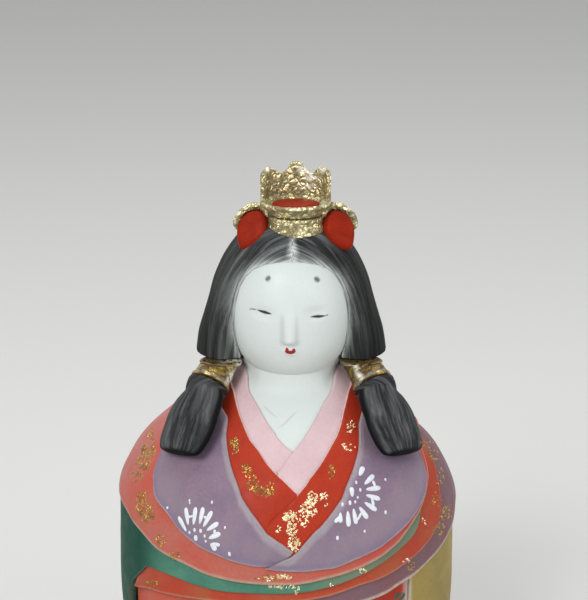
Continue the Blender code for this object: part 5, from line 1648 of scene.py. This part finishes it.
def scatter(clusters, seed):
    s = flakeSizes
    dice = random.Random(seed)
    flakes = []
    for x, y, wide, tall, count in clusters:
        for _ in range(count):
            way = dice.uniform(0, 2 * math.pi)
            reach = math.sqrt(dice.uniform(0.0, 1.0))
            px, py = x + wide * reach * math.cos(way), y + tall * reach * math.sin(way)
            lean = dice.uniform(0, math.pi)
            length = dice.uniform(*s["length"])
            half = dice.uniform(*s["half"])
            dx, dy = length * math.cos(lean), length * math.sin(lean)
            bend = dice.uniform(-s["bend"], s["bend"])
            end = half * s["ends"]
            flakes.append(((px - dx, py - dy, end), (px + bend, py - bend, half),
                           (px + dx, py + dy, end)))
    return flakes


painted("highlitFoil", scatter(foilSizes["bright"], 5), "foilHighlit", 0.10)
painted("darkerFoil", scatter(foilSizes["darker"], 9), "foilDark", 0.08)

# Face, in paint only: brows, eyes, mouth, and two faint creases on the neck
faceSizes = {
    "brows": (((265.2, 280.6, 3.0), (268.2, 278.4, 4.0), (271.2, 276.8, 3.0)),
              ((313.8, 277.4, 3.0), (317.0, 279.4, 4.0), (320.0, 281.4, 3.0))),
    "eyes": (((255.6, 309.0, 0.8), (260.2, 310.8, 1.5), (265.0, 312.2, 2.2), (269.4, 313.4, 1.4),
              (272.6, 314.2, 0.7)),
             ((309.4, 316.9, 0.7), (313.4, 316.6, 1.3), (318.2, 316.4, 2.0), (322.8, 316.0, 1.3),
              (326.8, 315.4, 0.7))),
    "wings": (((248.8, 309.2, 0.8), (253.0, 309.0, 1.0), (257.0, 309.6, 0.9)),
              ((325.0, 315.8, 0.9), (328.6, 314.4, 0.7))),
    "mouth": (((284.8, 350.2, 1.5), (287.2, 351.8, 2.2), (290.4, 352.5, 2.3), (293.4, 351.9, 2.2),
               (295.8, 350.4, 1.4)),
              ((285.4, 348.7, 1.2), (287.0, 349.3, 1.6), (288.4, 350.7, 1.2)),
              ((295.2, 349.3, 1.1), (293.8, 349.8, 1.5), (292.4, 350.9, 1.1))),
    "creases": (((276, 429, 1.4), (284, 424, 1.8), (292, 416, 1.4), (299, 409, 1.0)),
                ((262, 404, 1.2), (270, 412, 1.6), (279, 419, 1.2))),
}
painted("brows", faceSizes["brows"], "browGrey", 0.02)
painted("eyes", faceSizes["eyes"], "ink", 0.03)
painted("eyeWings", faceSizes["wings"], "browGrey", 0.02)
painted("mouth", faceSizes["mouth"], "lip", 0.05)
painted("neckCreases", faceSizes["creases"], "faintGrey", 0.01)

# Green leaf strokes on the pale end of the skirt
skirtLeaves = (((394, 600, 1.4), (397.5, 595.5, 2.2), (402, 592.5, 1.0)),
               ((399, 600, 1.2), (403, 596.5, 2.0), (404.5, 592.5, 0.9)))
painted("skirtLeaves", skirtLeaves, "motifGreen", 0.05)
print("paint strokes made")


# Carried-over nodes: the hidden clay body and the disc that closes its foot
for nodeName, finish in (("body_core", "clay"), ("base_disc", "cream")):
    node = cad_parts[nodeName]
    node.data.materials.clear()
    node.data.materials.append(finishes[finish])


# Light and floor

lampSizes = {
    "key": {"place": (-0.45, -0.75, 0.75), "size": 0.45, "power": 6.2},
    "fill": {"place": (0.70, -0.60, 0.40), "size": 0.70, "power": 2.4},
    "top": {"place": (0.05, 0.15, 0.95), "size": 0.60, "power": 2.8},
}


def makeLamps():
    for name, s in lampSizes.items():
        data = bpy.data.lights.new(name, "AREA")
        data.size = s["size"]
        data.energy = s["power"]
        lamp = inScene(name, data)
        lamp.location = s["place"]
        toward = Vector((0, 0, 80 * mm)) - lamp.location
        lamp.rotation_euler = toward.to_track_quat("-Z", "Y").to_euler()
    world = bpy.data.worlds.new("paleRoom")
    bpy.context.scene.world = world
    world.use_nodes = True
    tree = world.node_tree
    ground = tree.nodes["Background"]
    ground.inputs["Color"].default_value = (1, 1, 1, 1)
    path = tree.nodes.new("ShaderNodeLightPath")
    seen = mathNode(tree, "MAXIMUM", path.outputs["Is Camera Ray"], path.outputs["Is Glossy Ray"])
    seen = mathNode(tree, "MAXIMUM", seen, path.outputs["Is Transmission Ray"])
    plug(tree, rangeNode(tree, seen, 0.0, 1.0, 0.40, 0.95, "LINEAR"), ground.inputs["Strength"])


makeLamps()


floorSizes = {"radius": 1.6, "round": 96, "colour": (0.80, 0.80, 0.79, 1), "rough": 0.8}


def makeFloor():
    s = floorSizes
    bm = bmesh.new()
    bmesh.ops.create_circle(bm, cap_ends=True, segments=s["round"], radius=s["radius"])
    mesh = bpy.data.meshes.new("floor")
    bm.to_mesh(mesh)
    bm.free()
    finish, _, shader = newFinish("paleFloor", s["rough"])
    shader.inputs["Base Color"].default_value = s["colour"]
    mesh.materials.append(finish)
    inScene("floor", mesh)


makeFloor()
bpy.context.scene.view_settings.view_transform = "Standard"
print("camera, lamps and floor made")
